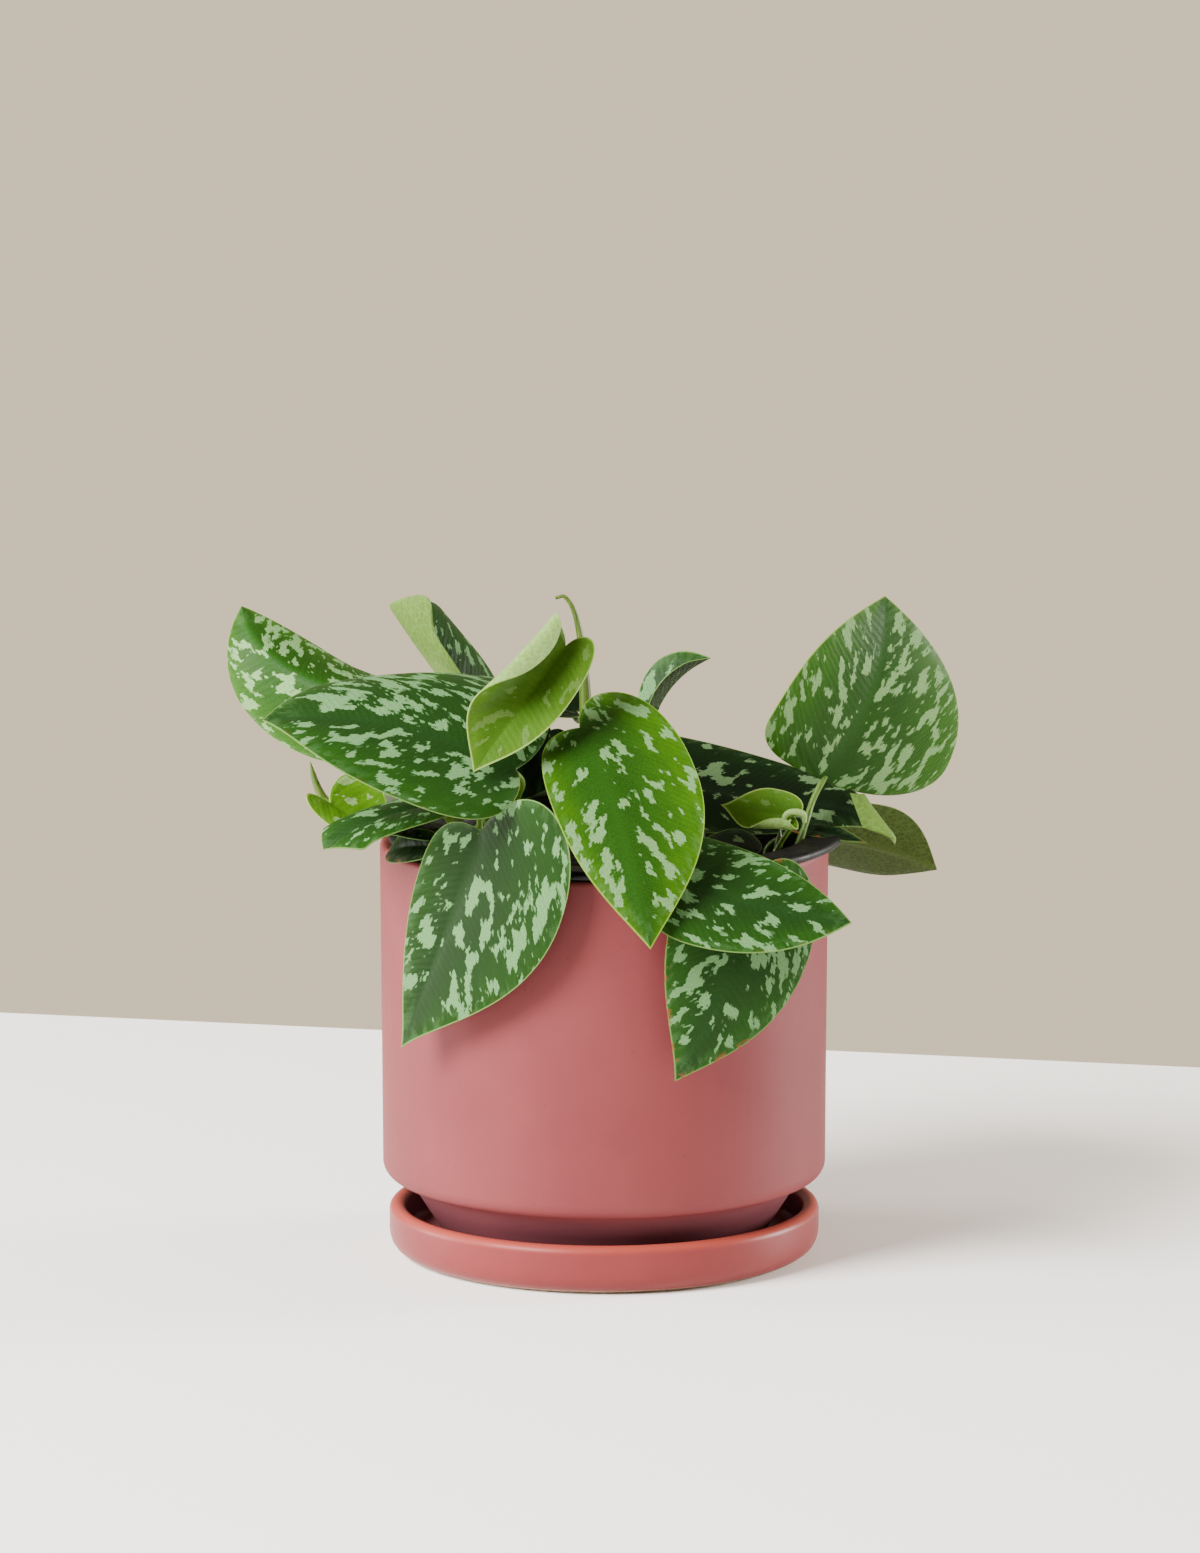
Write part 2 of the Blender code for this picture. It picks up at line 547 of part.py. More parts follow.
def make_leaf(spec, mat, vines):
    """A leaf: its blade and its stalk in one piece."""
    blade = Blade(spec)
    small = blade.length < 35
    rows = 8 if small else 10
    columns = spec.get("columns", 2)
    verts, faces = blade.solid(rows, columns, BLADE_THICKNESS)
    leaf = new_object(spec["name"], mesh_from(spec["name"], verts, faces), mat)
    route = stalk_route(blade, spec, vines)
    count = len(route) - 1
    slim = 0.8 if small else 1.0
    radii = [STALK_RADIUS * slim * (1.15 - 0.3 * k / count) for k in range(count + 1)]
    stalk = new_object("stalk", tube("stalk", route, radii, STALK_SIDES))
    combine(leaf, stalk, "UNION")
    leaf.data.shade_smooth()
    leaf.data.set_sharp_from_angle(angle=math.radians(60))
    return leaf


def build():
    """Every piece of the plant and its pots."""
    for ob in list(bpy.data.objects):
        bpy.data.objects.remove(ob)
    glaze = material("rose_glaze", (0.45, 0.15, 0.14), 0.45)
    make_saucer(glaze)
    make_pot(glaze)
    make_liner(material("black_plastic", (0.02, 0.02, 0.02), 0.5))
    stem_green = material("stem_green", (0.22, 0.33, 0.08), 0.45)
    vines = {}
    holes = []
    for name in VINES:
        vine, radii = make_vine(name, stem_green)
        route = vine_route(name)
        vines[name] = (route, radii)
        holes.append(((route[0].x, route[0].y), VINE_RADIUS + 0.2))
    leaf_green = material("leaf_green", (0.06, 0.16, 0.04), 0.4)
    for spec in LEAVES:
        make_leaf(spec, leaf_green, vines)
        if not isinstance(spec["foot"][0], str):
            holes.append((spec["foot"], STALK_RADIUS * 1.15 + 0.2))
    make_soil(material("potting_mix", (0.02, 0.014, 0.01), 0.9), holes)


build()
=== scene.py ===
"""A satin pothos in its nursery pot, inside a rose glazed cylinder pot on a matching saucer."""
import math
import random
from types import SimpleNamespace

import bmesh
import bpy
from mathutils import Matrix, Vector, noise


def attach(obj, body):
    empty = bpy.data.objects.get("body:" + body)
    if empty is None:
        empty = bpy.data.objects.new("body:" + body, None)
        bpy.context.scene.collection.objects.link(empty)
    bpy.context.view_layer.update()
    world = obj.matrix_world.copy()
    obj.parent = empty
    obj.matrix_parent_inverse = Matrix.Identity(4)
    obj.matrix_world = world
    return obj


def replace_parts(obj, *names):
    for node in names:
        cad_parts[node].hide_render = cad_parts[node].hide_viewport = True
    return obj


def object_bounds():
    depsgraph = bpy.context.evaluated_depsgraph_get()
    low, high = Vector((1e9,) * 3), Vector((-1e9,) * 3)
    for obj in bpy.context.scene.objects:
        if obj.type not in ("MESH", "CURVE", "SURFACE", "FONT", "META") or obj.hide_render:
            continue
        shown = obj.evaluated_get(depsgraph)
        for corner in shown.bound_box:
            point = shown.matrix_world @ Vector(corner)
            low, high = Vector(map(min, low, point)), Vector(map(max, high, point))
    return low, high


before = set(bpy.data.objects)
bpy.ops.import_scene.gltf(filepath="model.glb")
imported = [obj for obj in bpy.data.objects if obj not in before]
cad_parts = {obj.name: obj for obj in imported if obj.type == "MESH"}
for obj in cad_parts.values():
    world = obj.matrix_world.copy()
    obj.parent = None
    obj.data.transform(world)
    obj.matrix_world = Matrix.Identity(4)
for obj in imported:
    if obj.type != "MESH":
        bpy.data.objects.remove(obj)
cad_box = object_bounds()

# The saucer
# A low stoneware dish, slip cast and dipped in the same rose glaze as the pot. The glaze pools warm
# on the rounded lip and is wiped off the foot, where a line of bare clay shows.

MM = 0.001
SAUCER_RADIUS = 62.6
SAUCER_HEIGHT = 14.6
SAUCER_WALL = 4.8
SAUCER_FLOOR = 4.6
SAUCER_COVE = 2.2
CLAY_LINE = 1.3


def node(near, kind, values=None, **settings):
    """Add a shader node to the tree of near, set its options, and set or link its inputs."""
    tree = near.id_data
    made = tree.nodes.new(kind)
    for key, value in settings.items():
        setattr(made, key, value)
    for key, value in (values or {}).items():
        if isinstance(value, bpy.types.NodeSocket):
            tree.links.new(value, made.inputs[key])
        else:
            made.inputs[key].default_value = value
    return made


def maths(operation, *values):
    """A Math node's result, in the tree of the first value that is a socket."""
    near = next(value for value in values if isinstance(value, bpy.types.NodeSocket))
    return node(near, "ShaderNodeMath", dict(enumerate(values)), operation=operation).outputs[0]


def product(first, second):
    """Two values multiplied."""
    return maths("MULTIPLY", first, second)


def rise(value, low, high, start=0.0, end=1.0):
    """A smooth step from start to end while value goes from low to high."""
    limits = {"Value": value, "From Min": low, "From Max": high, "To Min": start, "To Max": end}
    return node(value, "ShaderNodeMapRange", limits, interpolation_type="SMOOTHSTEP").outputs["Result"]


def colour(red, green, blue, share=1):
    """A colour given in screen values from 0 to 255, times a share, as the shader wants it."""
    screen = [c * share / 255 for c in (red, green, blue)]
    return [c / 12.92 if c <= 10 / 255 else ((c + 0.055) / 1.055) ** 2.4 for c in screen] + [1]


def blend(amount, first, second):
    """A colour mixed from two others, where a tuple gives screen values."""
    first, second = [colour(*c) if isinstance(c, tuple) else c for c in (first, second)]
    return node(amount, "ShaderNodeMix", {0: amount, 6: first, 7: second}, data_type="RGBA").outputs[2]


def place_on(tree):
    """The place on the piece, in metres."""
    return node(tree, "ShaderNodeTexCoord").outputs["Object"]


def clouds(place, scale, detail, roughness=0.5):
    """A cloudy value from 0 to 1."""
    values = {"Vector": place, "Scale": scale, "Detail": detail, "Roughness": roughness}
    return node(place, "ShaderNodeTexNoise", values).outputs["Fac"]


def new_group(name, inputs):
    """A shader node group with named inputs."""
    tree = bpy.data.node_groups.new(name, "ShaderNodeTree")
    for label, kind in inputs.items():
        tree.interface.new_socket(name=label, in_out="INPUT", socket_type="NodeSocket" + kind)
    return tree, tree.nodes.new("NodeGroupInput").outputs


def finish_group(tree, results):
    """Give a shader node group its named outputs."""
    for label in results:
        tree.interface.new_socket(name=label, in_out="OUTPUT", socket_type="NodeSocketFloat")
    last = tree.nodes.new("NodeGroupOutput")
    for label, value in results.items():
        tree.links.new(value, last.inputs[label])
    return tree


def new_material(name, **constants):
    """A material with its Principled shader, whose constants are set on its own sockets."""
    made = bpy.data.materials.new(name)
    made.use_nodes = True
    for key, value in constants.items():
        made.node_tree.nodes["Principled BSDF"].inputs[key.replace("_", " ")].default_value = value
    return made, made.node_tree


def dress(made, base, height, strength, depth, rough=None):
    """Give a material its colour, its relief in metres and, where that varies, its roughness."""
    tree = made.node_tree
    bump = node(tree, "ShaderNodeBump", {"Strength": strength, "Distance": depth, "Height": height})
    found = {"Base Color": base, "Normal": bump.outputs["Normal"], "Roughness": rough}
    for label, value in found.items():
        if value:
            tree.links.new(value, tree.nodes["Principled BSDF"].inputs[label])
    return made


def glaze_group():
    """Fired glaze: cloudy tone, fine pinholes and iron specks, and a slightly rippled skin."""
    tree, given = new_group("fired glaze", {"Cloud size": "Float", "Speck amount": "Float"})
    place = place_on(tree)
    cloud = clouds(place, given["Cloud size"], 5.0, 0.6)
    dots = node(tree, "ShaderNodeTexVoronoi", {"Vector": place, "Scale": 420.0}).outputs["Distance"]
    near = rise(dots, 0.10, 0.22, 1.0, 0.0)
    rare = rise(clouds(place, 160.0, 1.0), 0.62, 0.68)
    fine = clouds(place, 900.0, 3.0)
    ripple = clouds(place, 130.0, 2.0)
    return finish_group(tree, {
        "Cloud": rise(cloud, 0.35, 0.65),
        "Speck": product(product(near, rare), given["Speck amount"]),
        "Sheen": fine,
        "Height": maths("MULTIPLY_ADD", ripple, 0.6, product(fine, 0.25))})


fired_glaze = glaze_group()


def glazed(name, body, cloud, thin, roughness, low, high):
    """Rose glaze over stoneware: it breaks to a warmer, thinner tone between two heights, in metres."""
    made, tree = new_material(name, Specular_IOR_Level=0.14)
    amounts = {"Cloud size": 22.0, "Speck amount": 0.5}
    effect = node(tree, "ShaderNodeGroup", amounts, node_tree=fired_glaze).outputs
    height = node(tree, "ShaderNodeSeparateXYZ", {0: place_on(tree)}).outputs["Z"]
    base = blend(effect["Cloud"], body, cloud)
    base = blend(rise(height, low, high), base, thin)
    base = blend(effect["Speck"], base, (84, 38, 34))
    rough = maths("MULTIPLY_ADD", effect["Sheen"], 0.12, roughness)
    return dress(made, base, effect["Height"], 0.12, 0.0004, rough)


def bare_clay():
    """Unglazed buff stoneware with a sandy grain."""
    made, tree = new_material("bare clay", Roughness=0.85)
    grain = clouds(place_on(tree), 700.0, 4.0)
    base = blend(rise(grain, 0.35, 0.7), (124, 92, 74), (146, 116, 94))
    return dress(made, base, grain, 0.3, 0.0003)


def piece(name, verts, faces, materials, slots=None, smooth=40):
    """A mesh object from points in millimetres, smooth but for edges sharper than an angle."""
    mesh = bpy.data.meshes.new(name)
    mesh.from_pydata([Vector(v) * MM for v in verts], [], faces)
    for item in materials:
        mesh.materials.append(item)
    if slots:
        mesh.polygons.foreach_set("material_index", slots)
    mesh.shade_smooth()
    mesh.set_sharp_from_angle(angle=math.radians(smooth))
    mesh.update()
    ob = bpy.data.objects.new(name, mesh)
    bpy.context.scene.collection.objects.link(ob)
    return ob


def outward(ob):
    """A closed piece with every face turned to face outwards."""
    work = bmesh.new()
    work.from_mesh(ob.data)
    bmesh.ops.recalc_face_normals(work, faces=work.faces)
    work.to_mesh(ob.data)
    work.free()
    return ob


def round_edge(centre, height, radius, start, end, steps):
    """Points of a rounded edge in a turned outline, from start to end in degrees."""
    turns = [math.radians(start + (end - start) * k / steps) for k in range(steps + 1)]
    return [(centre + radius * math.cos(a), height + radius * math.sin(a)) for a in turns]


def thrown(name, outline, materials, wobble, zone=None, shift=0.0, sides=128):
    """A round piece turned from an outline of (radius, height); zone gives each band's material."""
    verts = []
    rings = []
    for radius, height in outline:
        count = sides if radius else 1
        rings.append([len(verts) + k % count for k in range(sides)])
        for k in range(count):
            a = 2 * math.pi * k / sides
            uneven = noise.noise(Vector((2 * math.cos(a), 2 * math.sin(a), height * 0.02)))
            r = radius * (1 + wobble * uneven)
            verts.append((shift + r * math.cos(a), r * math.sin(a), height))
    faces = []
    slots = []
    for band in range(len(outline) if outline[0][0] else len(outline) - 1):
        after = (band + 1) % len(outline)
        for k in range(sides):
            n = (k + 1) % sides
            corners = (rings[band][k], rings[band][n], rings[after][n], rings[after][k])
            faces.append(list(dict.fromkeys(corners)))
            slots.append(zone(outline[band], outline[after]) if zone else 0)
    return outward(piece(name, verts, faces, materials, slots, smooth=60))


saucer_inner = SAUCER_RADIUS - SAUCER_WALL
saucer_lip = SAUCER_WALL / 2
saucer_outline = [
    (0, 0.5), (52.0, 0.5), (53.0, 0), (57.0, 0), (58.2, 0.5), (59.6, 1.2), (61.0, 2.3), (61.9, 3.6),
    (62.4, 5.2), (SAUCER_RADIUS, 7.0), (SAUCER_RADIUS, 9.0),
    *round_edge(SAUCER_RADIUS - saucer_lip, SAUCER_HEIGHT - saucer_lip, saucer_lip, 0, 180, 14),
    (saucer_inner, 9.5), (saucer_inner - 0.1, 8.0),
    *round_edge(saucer_inner - 2.4, SAUCER_FLOOR + SAUCER_COVE, SAUCER_COVE, 0, -90, 6),
    (30, SAUCER_FLOOR), (0, SAUCER_FLOOR)]
saucer_glaze = glazed("rose glaze on the saucer", (109, 43, 44), (116, 47, 48), (138, 58, 49),
                      0.32, 0.0118, 0.0142)
# The mauve inside the saucer is painted shade: a greyer, cooler tone for the dish where it lies in the pot's
# shade.
inner_glaze = glazed("mauve glaze in the saucer", (106, 58, 63), (112, 62, 67), (138, 58, 49),
                     0.38, 0.0118, 0.0142)


def saucer_zone(start, end):
    """Bare clay round the bottom edge, a mauve tone inside as painted shade under the pot, rose glaze
    elsewhere.
    """
    if max(start[1], end[1]) < CLAY_LINE:
        return 1
    return 2 if max(start[0], end[0]) < saucer_inner + 0.3 else 0


saucer = thrown("saucer_dish", saucer_outline, [saucer_glaze, bare_clay(), inner_glaze], 0.0012, saucer_zone)
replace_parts(saucer, "saucer")
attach(saucer, "root")

# The pot
# A straight stoneware cylinder on a tapered foot, glazed inside and out in a satin rose glaze.
# The lower edge is rounded, the lip is thin and round, and the floor has one drain hole.

POT_RADIUS = 65.0
POT_LOW_RADIUS = 64.4
POT_RIM = 121.4
POT_BODY = 22.7
POT_WALL = 4.5
POT_FLOOR = 12.0
POT_LIP = 1.7
LOW_EDGE = 4.5
FOOT_Z = SAUCER_FLOOR + 0.3
DRAIN_RADIUS = 6.0

pot_inner = POT_RADIUS - POT_WALL
pot_outline = [
    (DRAIN_RADIUS, FOOT_Z), (44.8, FOOT_Z), (46.0, FOOT_Z + 0.3), (46.8, FOOT_Z + 1.0),
    *[(47.2 + 10.0 * k / 6, FOOT_Z + 1.8 + 15.6 * k / 6) for k in range(7)],
    (57.7, POT_BODY - 0.05), (58.6, POT_BODY),
    *round_edge(POT_LOW_RADIUS - LOW_EDGE, POT_BODY + LOW_EDGE, LOW_EDGE, -88, 0, 12),
    *[(POT_LOW_RADIUS + 0.6 * k / 12, 28 + 91 * k / 12) for k in range(1, 13)],
    *round_edge(POT_RADIUS - POT_LIP, POT_RIM - POT_LIP, POT_LIP, 5, 90, 6),
    *round_edge(pot_inner + POT_LIP, POT_RIM - POT_LIP, POT_LIP, 90, 180, 6),
    (pot_inner, 90), (pot_inner, 60), (pot_inner, POT_BODY + 7), (pot_inner - 2.0, POT_BODY + 4.5),
    (53.0, POT_BODY), (46.0, POT_FLOOR), (DRAIN_RADIUS, POT_FLOOR)]
pot_glaze = glazed("rose glaze on the pot", (104, 45, 48), (109, 49, 51), (124, 58, 59), 0.5, 0.119, 0.1212)
# The mauve on the foot is painted shade: a greyer, cooler tone under the body, turning back to the rose glaze
# between 19 and 22.4 mm up.
foot_glaze = glazed("mauve glaze on the foot", (90, 47, 53), (96, 50, 56), (104, 45, 48), 0.5, 0.019, 0.0224)


def pot_zone(start, end):
    """Mauve painted shade on the foot and the floor, rose glaze elsewhere."""
    return 1 if max(start[1], end[1]) < POT_BODY + 0.1 else 0


pot = thrown("cylinder_pot", pot_outline, [pot_glaze, foot_glaze], 0.0008, pot_zone, sides=160)
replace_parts(pot, "pot")
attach(pot, "root")

# The nursery pot
# A thin black polypropylene grow pot that the plant was raised in. Its rolled lip rests on the
# glazed rim and stands a little proud of it. It is blow moulded, with faint rings round its wall.

LINER_SHIFT = 3.3
LINER_Z = 12.3
LINER_FOOT = 42.0
LINER_RADIUS = 56.8
LINER_WALL = 1.3
LIP_Z = POT_RIM + 0.3
LIP_RADIUS = 66.0
LIP_ROLL = 1.4


def moulded_plastic():
    """Black plastic, dusty from the potting bench, with water spots and scuffs."""
    made, tree = new_material("black nursery plastic", Specular_IOR_Level=0.14)
    place = place_on(tree)
    dust = clouds(place, 60.0, 6.0, 0.7)
    spots = clouds(place, 450.0, 2.0)
    base = blend(rise(dust, 0.45, 0.75), (6, 6, 7), (17, 16, 15))
    base = blend(rise(spots, 0.66, 0.72, 0.0, 0.4), base, (48, 45, 40))
    return dress(made, base, spots, 0.2, 0.0003, rise(dust, 0.3, 0.7, 0.35, 0.62))


liner_outline = [
    (0, LINER_Z), (40.5, LINER_Z), (LINER_FOOT, LINER_Z + 1.5),
    *[(LINER_FOOT + (LINER_RADIUS - LINER_FOOT) * k / 18 + 0.15 * (k % 2), LINER_Z + 1.5 + 103.9 * k / 18)
      for k in range(1, 18)],
    (LINER_RADIUS, LIP_Z - 4), (LINER_RADIUS + 0.2, LIP_Z - 0.05),
    *round_edge(LIP_RADIUS - LIP_ROLL, LIP_Z + LIP_ROLL, LIP_ROLL, -90, 90, 8),
    (62, LIP_Z + 2.7), (LINER_RADIUS - 0.1, LIP_Z + 2.8), (LINER_RADIUS - 0.8, LIP_Z + 2.5),
    (LINER_RADIUS - LINER_WALL, LIP_Z + 1.6), (LINER_RADIUS - LINER_WALL, LIP_Z - 4),
    (40.7, LINER_Z + 2.3), (39.5, LINER_Z + LINER_WALL), (0, LINER_Z + LINER_WALL)]
liner = thrown("grow_pot", liner_outline, [moulded_plastic()], 0.0006, shift=LINER_SHIFT)
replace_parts(liner, "nursery_pot")
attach(liner, "root")

# The potting mix
# Dark peat with shredded bark, coir fibre and a little perlite, filled to just under the lip and
# sunk unevenly by watering. The bark chips and grit lie loose on top.

SOIL_Z = 115.0
SOIL_RADIUS = 55.0
SOIL_FLOOR = 14.0
SOIL_RINGS = 34
SOIL_SIDES = 120
CHIP_COUNT = 620


def peat():
    """Damp peat: near black, with brown crumbs."""
    made, tree = new_material("potting mix", Roughness=0.95, Specular_IOR_Level=0.25)
    place = place_on(tree)
    lumps = node(tree, "ShaderNodeTexVoronoi", {"Vector": place, "Scale": 520.0}).outputs
    broad = clouds(place, 90.0, 8.0, 0.75)
    tone = node(tree, "ShaderNodeSeparateColor", {"Color": lumps["Color"]}).outputs["Red"]
    base = blend(tone, (9, 7, 5), (28, 21, 15))
    base = blend(rise(broad, 0.4, 0.7), base, (13, 10, 8))
    return dress(made, base, maths("ADD", lumps["Distance"], broad), 0.9, 0.0009)


def chip(name, low, high):
    """Bark, fibre or grit of one colour range."""
    made, tree = new_material(name, Roughness=0.9)
    grain = clouds(place_on(tree), 800.0, 4.0)
    base = blend(rise(grain, 0.3, 0.7), low, high)
    return dress(made, base, grain, 0.5, 0.0003)


def soil_height(x, y):
    """How high the top of the mix lies at a point, in millimetres."""
    away = math.hypot(x - LINER_SHIFT, y) / SOIL_RADIUS
    lump = 1.3 * noise.noise(Vector((x * 0.09, y * 0.09, 3.0)))
    lump += 0.7 * noise.noise(Vector((x * 0.35, y * 0.35, 8.0)))
    return SOIL_Z + 2.2 * (1 - away) + lump * min(1, 4 * (1 - away) + 0.3)


def ring_faces(first, sides):
    """The faces between the ring of points that starts at first and the ring that follows it."""
    turns = [(first + k, first + (k + 1) % sides) for k in range(sides)]
    return [(a, b, b + sides, a + sides) for a, b in turns]


def fill_pot():
    """The body of mix, closed under its lumpy top."""
    rows = [(38.5, SOIL_FLOOR), (40.0, SOIL_FLOOR + 2), (SOIL_RADIUS - 0.4, SOIL_Z - 2.5)]
    rows += [(SOIL_RADIUS * (1 - k / SOIL_RINGS), None) for k in range(SOIL_RINGS)]
    verts = [(LINER_SHIFT, 0, SOIL_FLOOR)]
    for radius, height in rows:
        for k in range(SOIL_SIDES):
            a = 2 * math.pi * k / SOIL_SIDES
            x = LINER_SHIFT + radius * math.cos(a)
            y = radius * math.sin(a)
            verts.append((x, y, soil_height(x, y) if height is None else height))
    verts.append((LINER_SHIFT, 0, soil_height(LINER_SHIFT, 0)))
    starts = [1 + row * SOIL_SIDES for row in range(len(rows))]
    faces = [(0, b, a) for a, b, _, _ in ring_faces(1, SOIL_SIDES)]
    for start in starts[:-1]:
        faces += ring_faces(start, SOIL_SIDES)
    faces += [(a, b, len(verts) - 1) for a, b, _, _ in ring_faces(starts[-1], SOIL_SIDES)]
    return outward(piece("potting_mix", verts, faces, [peat()], smooth=80))


def scatter_chips():
    """Loose chips lying on the mix: torn lumps of bark, thin fibres and a few grains of perlite."""
    chance = random.Random(12)
    verts = []
    faces = []
    slots = []
    for _ in range(CHIP_COUNT):
        a = chance.uniform(0, 2 * math.pi)
        r = (SOIL_RADIUS - 1.5) * math.sqrt(chance.random())
        x = LINER_SHIFT + r * math.cos(a)
        y = r * math.sin(a)
        kind = 0 if chance.random() < 0.72 else (1 if chance.random() < 0.7 else 2)
        long, wide, tall = ((chance.uniform(1.2, 4.6), chance.uniform(0.7, 1.9), chance.uniform(0.4, 1.2)),
                            (chance.uniform(4, 9), chance.uniform(0.3, 0.6), chance.uniform(0.2, 0.4)),
                            (chance.uniform(0.7, 1.5),) * 3)[kind]
        turn = chance.uniform(0, math.pi)
        lean = chance.uniform(-0.35, 0.35)
        first = len(verts)
        for level, share in ((-1, 0.55), (0, 1.0), (1, 0.6)):
            for k in range(6):
                b = math.pi * k / 3
                px = long / 2 * share * math.cos(b) * chance.uniform(0.75, 1.15)
                py = wide / 2 * share * math.sin(b) * chance.uniform(0.75, 1.15)
                pz = level * tall / 2 + px * lean
                verts.append((x + px * math.cos(turn) - py * math.sin(turn),
                              y + px * math.sin(turn) + py * math.cos(turn),
                              soil_height(x, y) + tall * 0.3 + pz))
        faces += [[first + 5 - k for k in range(6)], [first + 12 + k for k in range(6)]]
        faces += ring_faces(first, 6) + ring_faces(first + 6, 6)
        slots += [kind] * 14
    return piece("bark_chips", verts, faces, [
        chip("shredded bark", (18, 12, 8), (46, 31, 20)),
        chip("coir fibre", (44, 30, 18), (70, 50, 30)),
        chip("perlite", (96, 92, 84), (124, 120, 112))], slots, smooth=25)


mix = fill_pot()
chips = scatter_chips()
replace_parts(mix, "soil")
for ob in (mix, chips):
    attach(ob, "root")

# The vines
# Young stems of the climber: smooth, green and ringed where each leaf was borne, with short brown
# stubs of aerial root under the rings. They stand in the potting mix.

VINES = {
    "vine_front_left": [(-25, -22, 117), (-27, -32, 127), (-27, -40, 137), (-25, -45, 143)],
    "vine_left": [(-38, -6, 117), (-41, -7, 124), (-48, -8, 134), (-57, -9, 143)],
    "vine_centre": [(-3, -13, 117), (-4, -14, 134), (-5, -15, 155), (-6, -15, 176), (-8, -15, 189),
                    (-11, -15, 195), (-14, -15, 195)],
    "vine_front_right": [(22, -28, 118), (22.6, -29, 121), (25, -33, 124)],
    "vine_right_back": [(29, 17, 117), (32, 19, 123), (36, 22, 127), (41, 25, 129)],
    "vine_back": [(-8, 29, 117), (-7, 32, 123), (-5, 35, 128), (-1, 38, 133)],
}
VINE_RADIUS = 2.0
VINE_STEPS = 12
ROOT_RADII = [0.6, 0.6, 0.55, 0.5, 0.45, 0.35, 0.2]


def stem_skin(name, light, dark, warm):
    """Skin of a stem or root: lengthwise streaks and warmer patches, with a waxy shine."""
    made, tree = new_material(name, Specular_IOR_Level=0.3)
    place = place_on(tree)
    drawn = node(tree, "ShaderNodeMapping", {"Vector": place, "Scale": (900.0, 900.0, 90.0)})
    streak = clouds(drawn.outputs["Vector"], 1.0, 3.0)
    patch = clouds(place, 120.0, 2.0)
    base = blend(rise(streak, 0.3, 0.7), dark, light)
    base = blend(rise(patch, 0.52, 0.72, 0.0, 0.5), base, warm)
    return dress(made, base, streak, 0.25, 0.0003, rise(streak, 0.2, 0.8, 0.34, 0.5))


def cubic(points, t):
    """A point on the cubic curve through four control points."""
    s = 1 - t
    a, b, c, d = points
    return a * s ** 3 + b * (3 * s * s * t) + c * (3 * s * t * t) + d * t ** 3


def smooth_route(points, steps):
    """A smooth centreline through placed points."""
    route = [Vector(p) for p in points]
    ends = [route[0] * 2 - route[1]] + route + [route[-1] * 2 - route[-2]]
    result = []
    for k in range(len(route) - 1):
        before, start, end, after = ends[k:k + 4]
        controls = (start, start + (end - before) / 6, end - (after - start) / 6, end)
        result += [cubic(controls, j / steps) for j in range(steps)]
    return result + [route[-1]]


def tube(route, radii, sides):
    """Points and faces of a closed round stem along a centreline."""
    verts = []
    faces = [list(range(sides - 1, -1, -1))]
    up = Vector((0.31, 0.17, 0.93))
    for k, point in enumerate(route):
        along = (route[min(k + 1, len(route) - 1)] - route[max(k - 1, 0)]).normalized()
        up = (up - along * up.dot(along)).normalized()
        other = along.cross(up)
        for j in range(sides):
            a = 2 * math.pi * j / sides
            verts.append(point + (up * math.cos(a) + other * math.sin(a)) * radii[k])
    for k in range(len(route) - 1):
        faces += ring_faces(k * sides, sides)
    last = (len(route) - 1) * sides
    faces.append([last + j for j in range(sides)])
    return verts, faces


def vine_line(name, steps):
    """A vine's centreline: straight in the mix, then smooth to its tip."""
    first = Vector(VINES[name][0])
    return [Vector((first.x, first.y, SOIL_Z - 11))] + smooth_route(VINES[name], steps)


def vine_radii(name, route):
    """How thick a vine is at each point: it tapers, and the centre one runs out to a thin shoot."""
    shares = [k / (len(route) - 1) for k in range(len(route))]
    radii = [VINE_RADIUS * (1 - 0.75 * max(0, share - 0.3) ** 1.3) for share in shares]
    if name == "vine_centre":
        radii = [r if p.z < 160 else max(0.5, r * (1 - (p.z - 160) / 60)) for r, p in zip(radii, route)]
    return radii


stem_green = stem_skin("green stem", (72, 92, 26), (48, 70, 16), (84, 90, 34))
root_brown = stem_skin("aerial root", (78, 56, 32), (52, 36, 20), (64, 46, 26))
for vine_name in VINES:
    route = vine_line(vine_name, VINE_STEPS)
    radii = vine_radii(vine_name, route)
    for k in range(2, len(route) - 4):
        if k % VINE_STEPS < 3 and route[k].z < 170:
            radii[k] *= (1.1, 1.22, 1.08)[k % VINE_STEPS]
    verts, faces = tube(route, radii, 14)
    slots = [0] * len(faces)
    for k in range(VINE_STEPS + 1, len(route) - 6, VINE_STEPS):
        if route[k].z > 150:
            break
        out = (route[k + 1] - route[k - 1]).cross(Vector((0.3, 1, 0.2))).normalized()
        stub = [route[k] + out * radii[k] * 0.6]
        stub += [route[k] + out * away - Vector((0, 0, drop)) for away, drop in ((2.4, 0.5), (3.4, 1.6))]
        more, extra = tube(smooth_route(stub, 3), ROOT_RADII, 8)
        faces += [[i + len(verts) for i in face] for face in extra]
        verts += more
        slots += [1] * len(extra)
    vine = piece(vine_name + "_stem", verts, faces, [stem_green, root_brown], slots, smooth=70)
    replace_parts(vine, vine_name)
    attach(vine, "root")

# The leaves
# Heart-shaped blades, thick and satiny, deep green above with silver flecks that follow the side
# veins, and pale below. Each is laid on its arched midrib, cupped, and grows from its own stalk.

LEAF_ROWS = 48
LEAF_COLUMNS = 14


def leaf(name, base, tip, facing, width, lobes, widest, foot, skin, blunt=0.6, arch=0, sweep=0, hook=0,
         twist=0, cup=(0, 0), curl=(0, 0), curl_tip=(0, 0), late=(1, 1), halves=(1, 1), stalk=(), rust=0.1):
    """What one leaf is grown from, in millimetres and degrees; pairs are for its two halves.

    The midrib runs from base to tip, arched towards the facing side. The lobes reach back past the base.
    Each half is cupped at the midrib and curls on its way out. The foot is a place on the mix, or a vine
    and how far along it. The skin is a green, a seed and how much silver it has.
    """
    return SimpleNamespace(**locals())


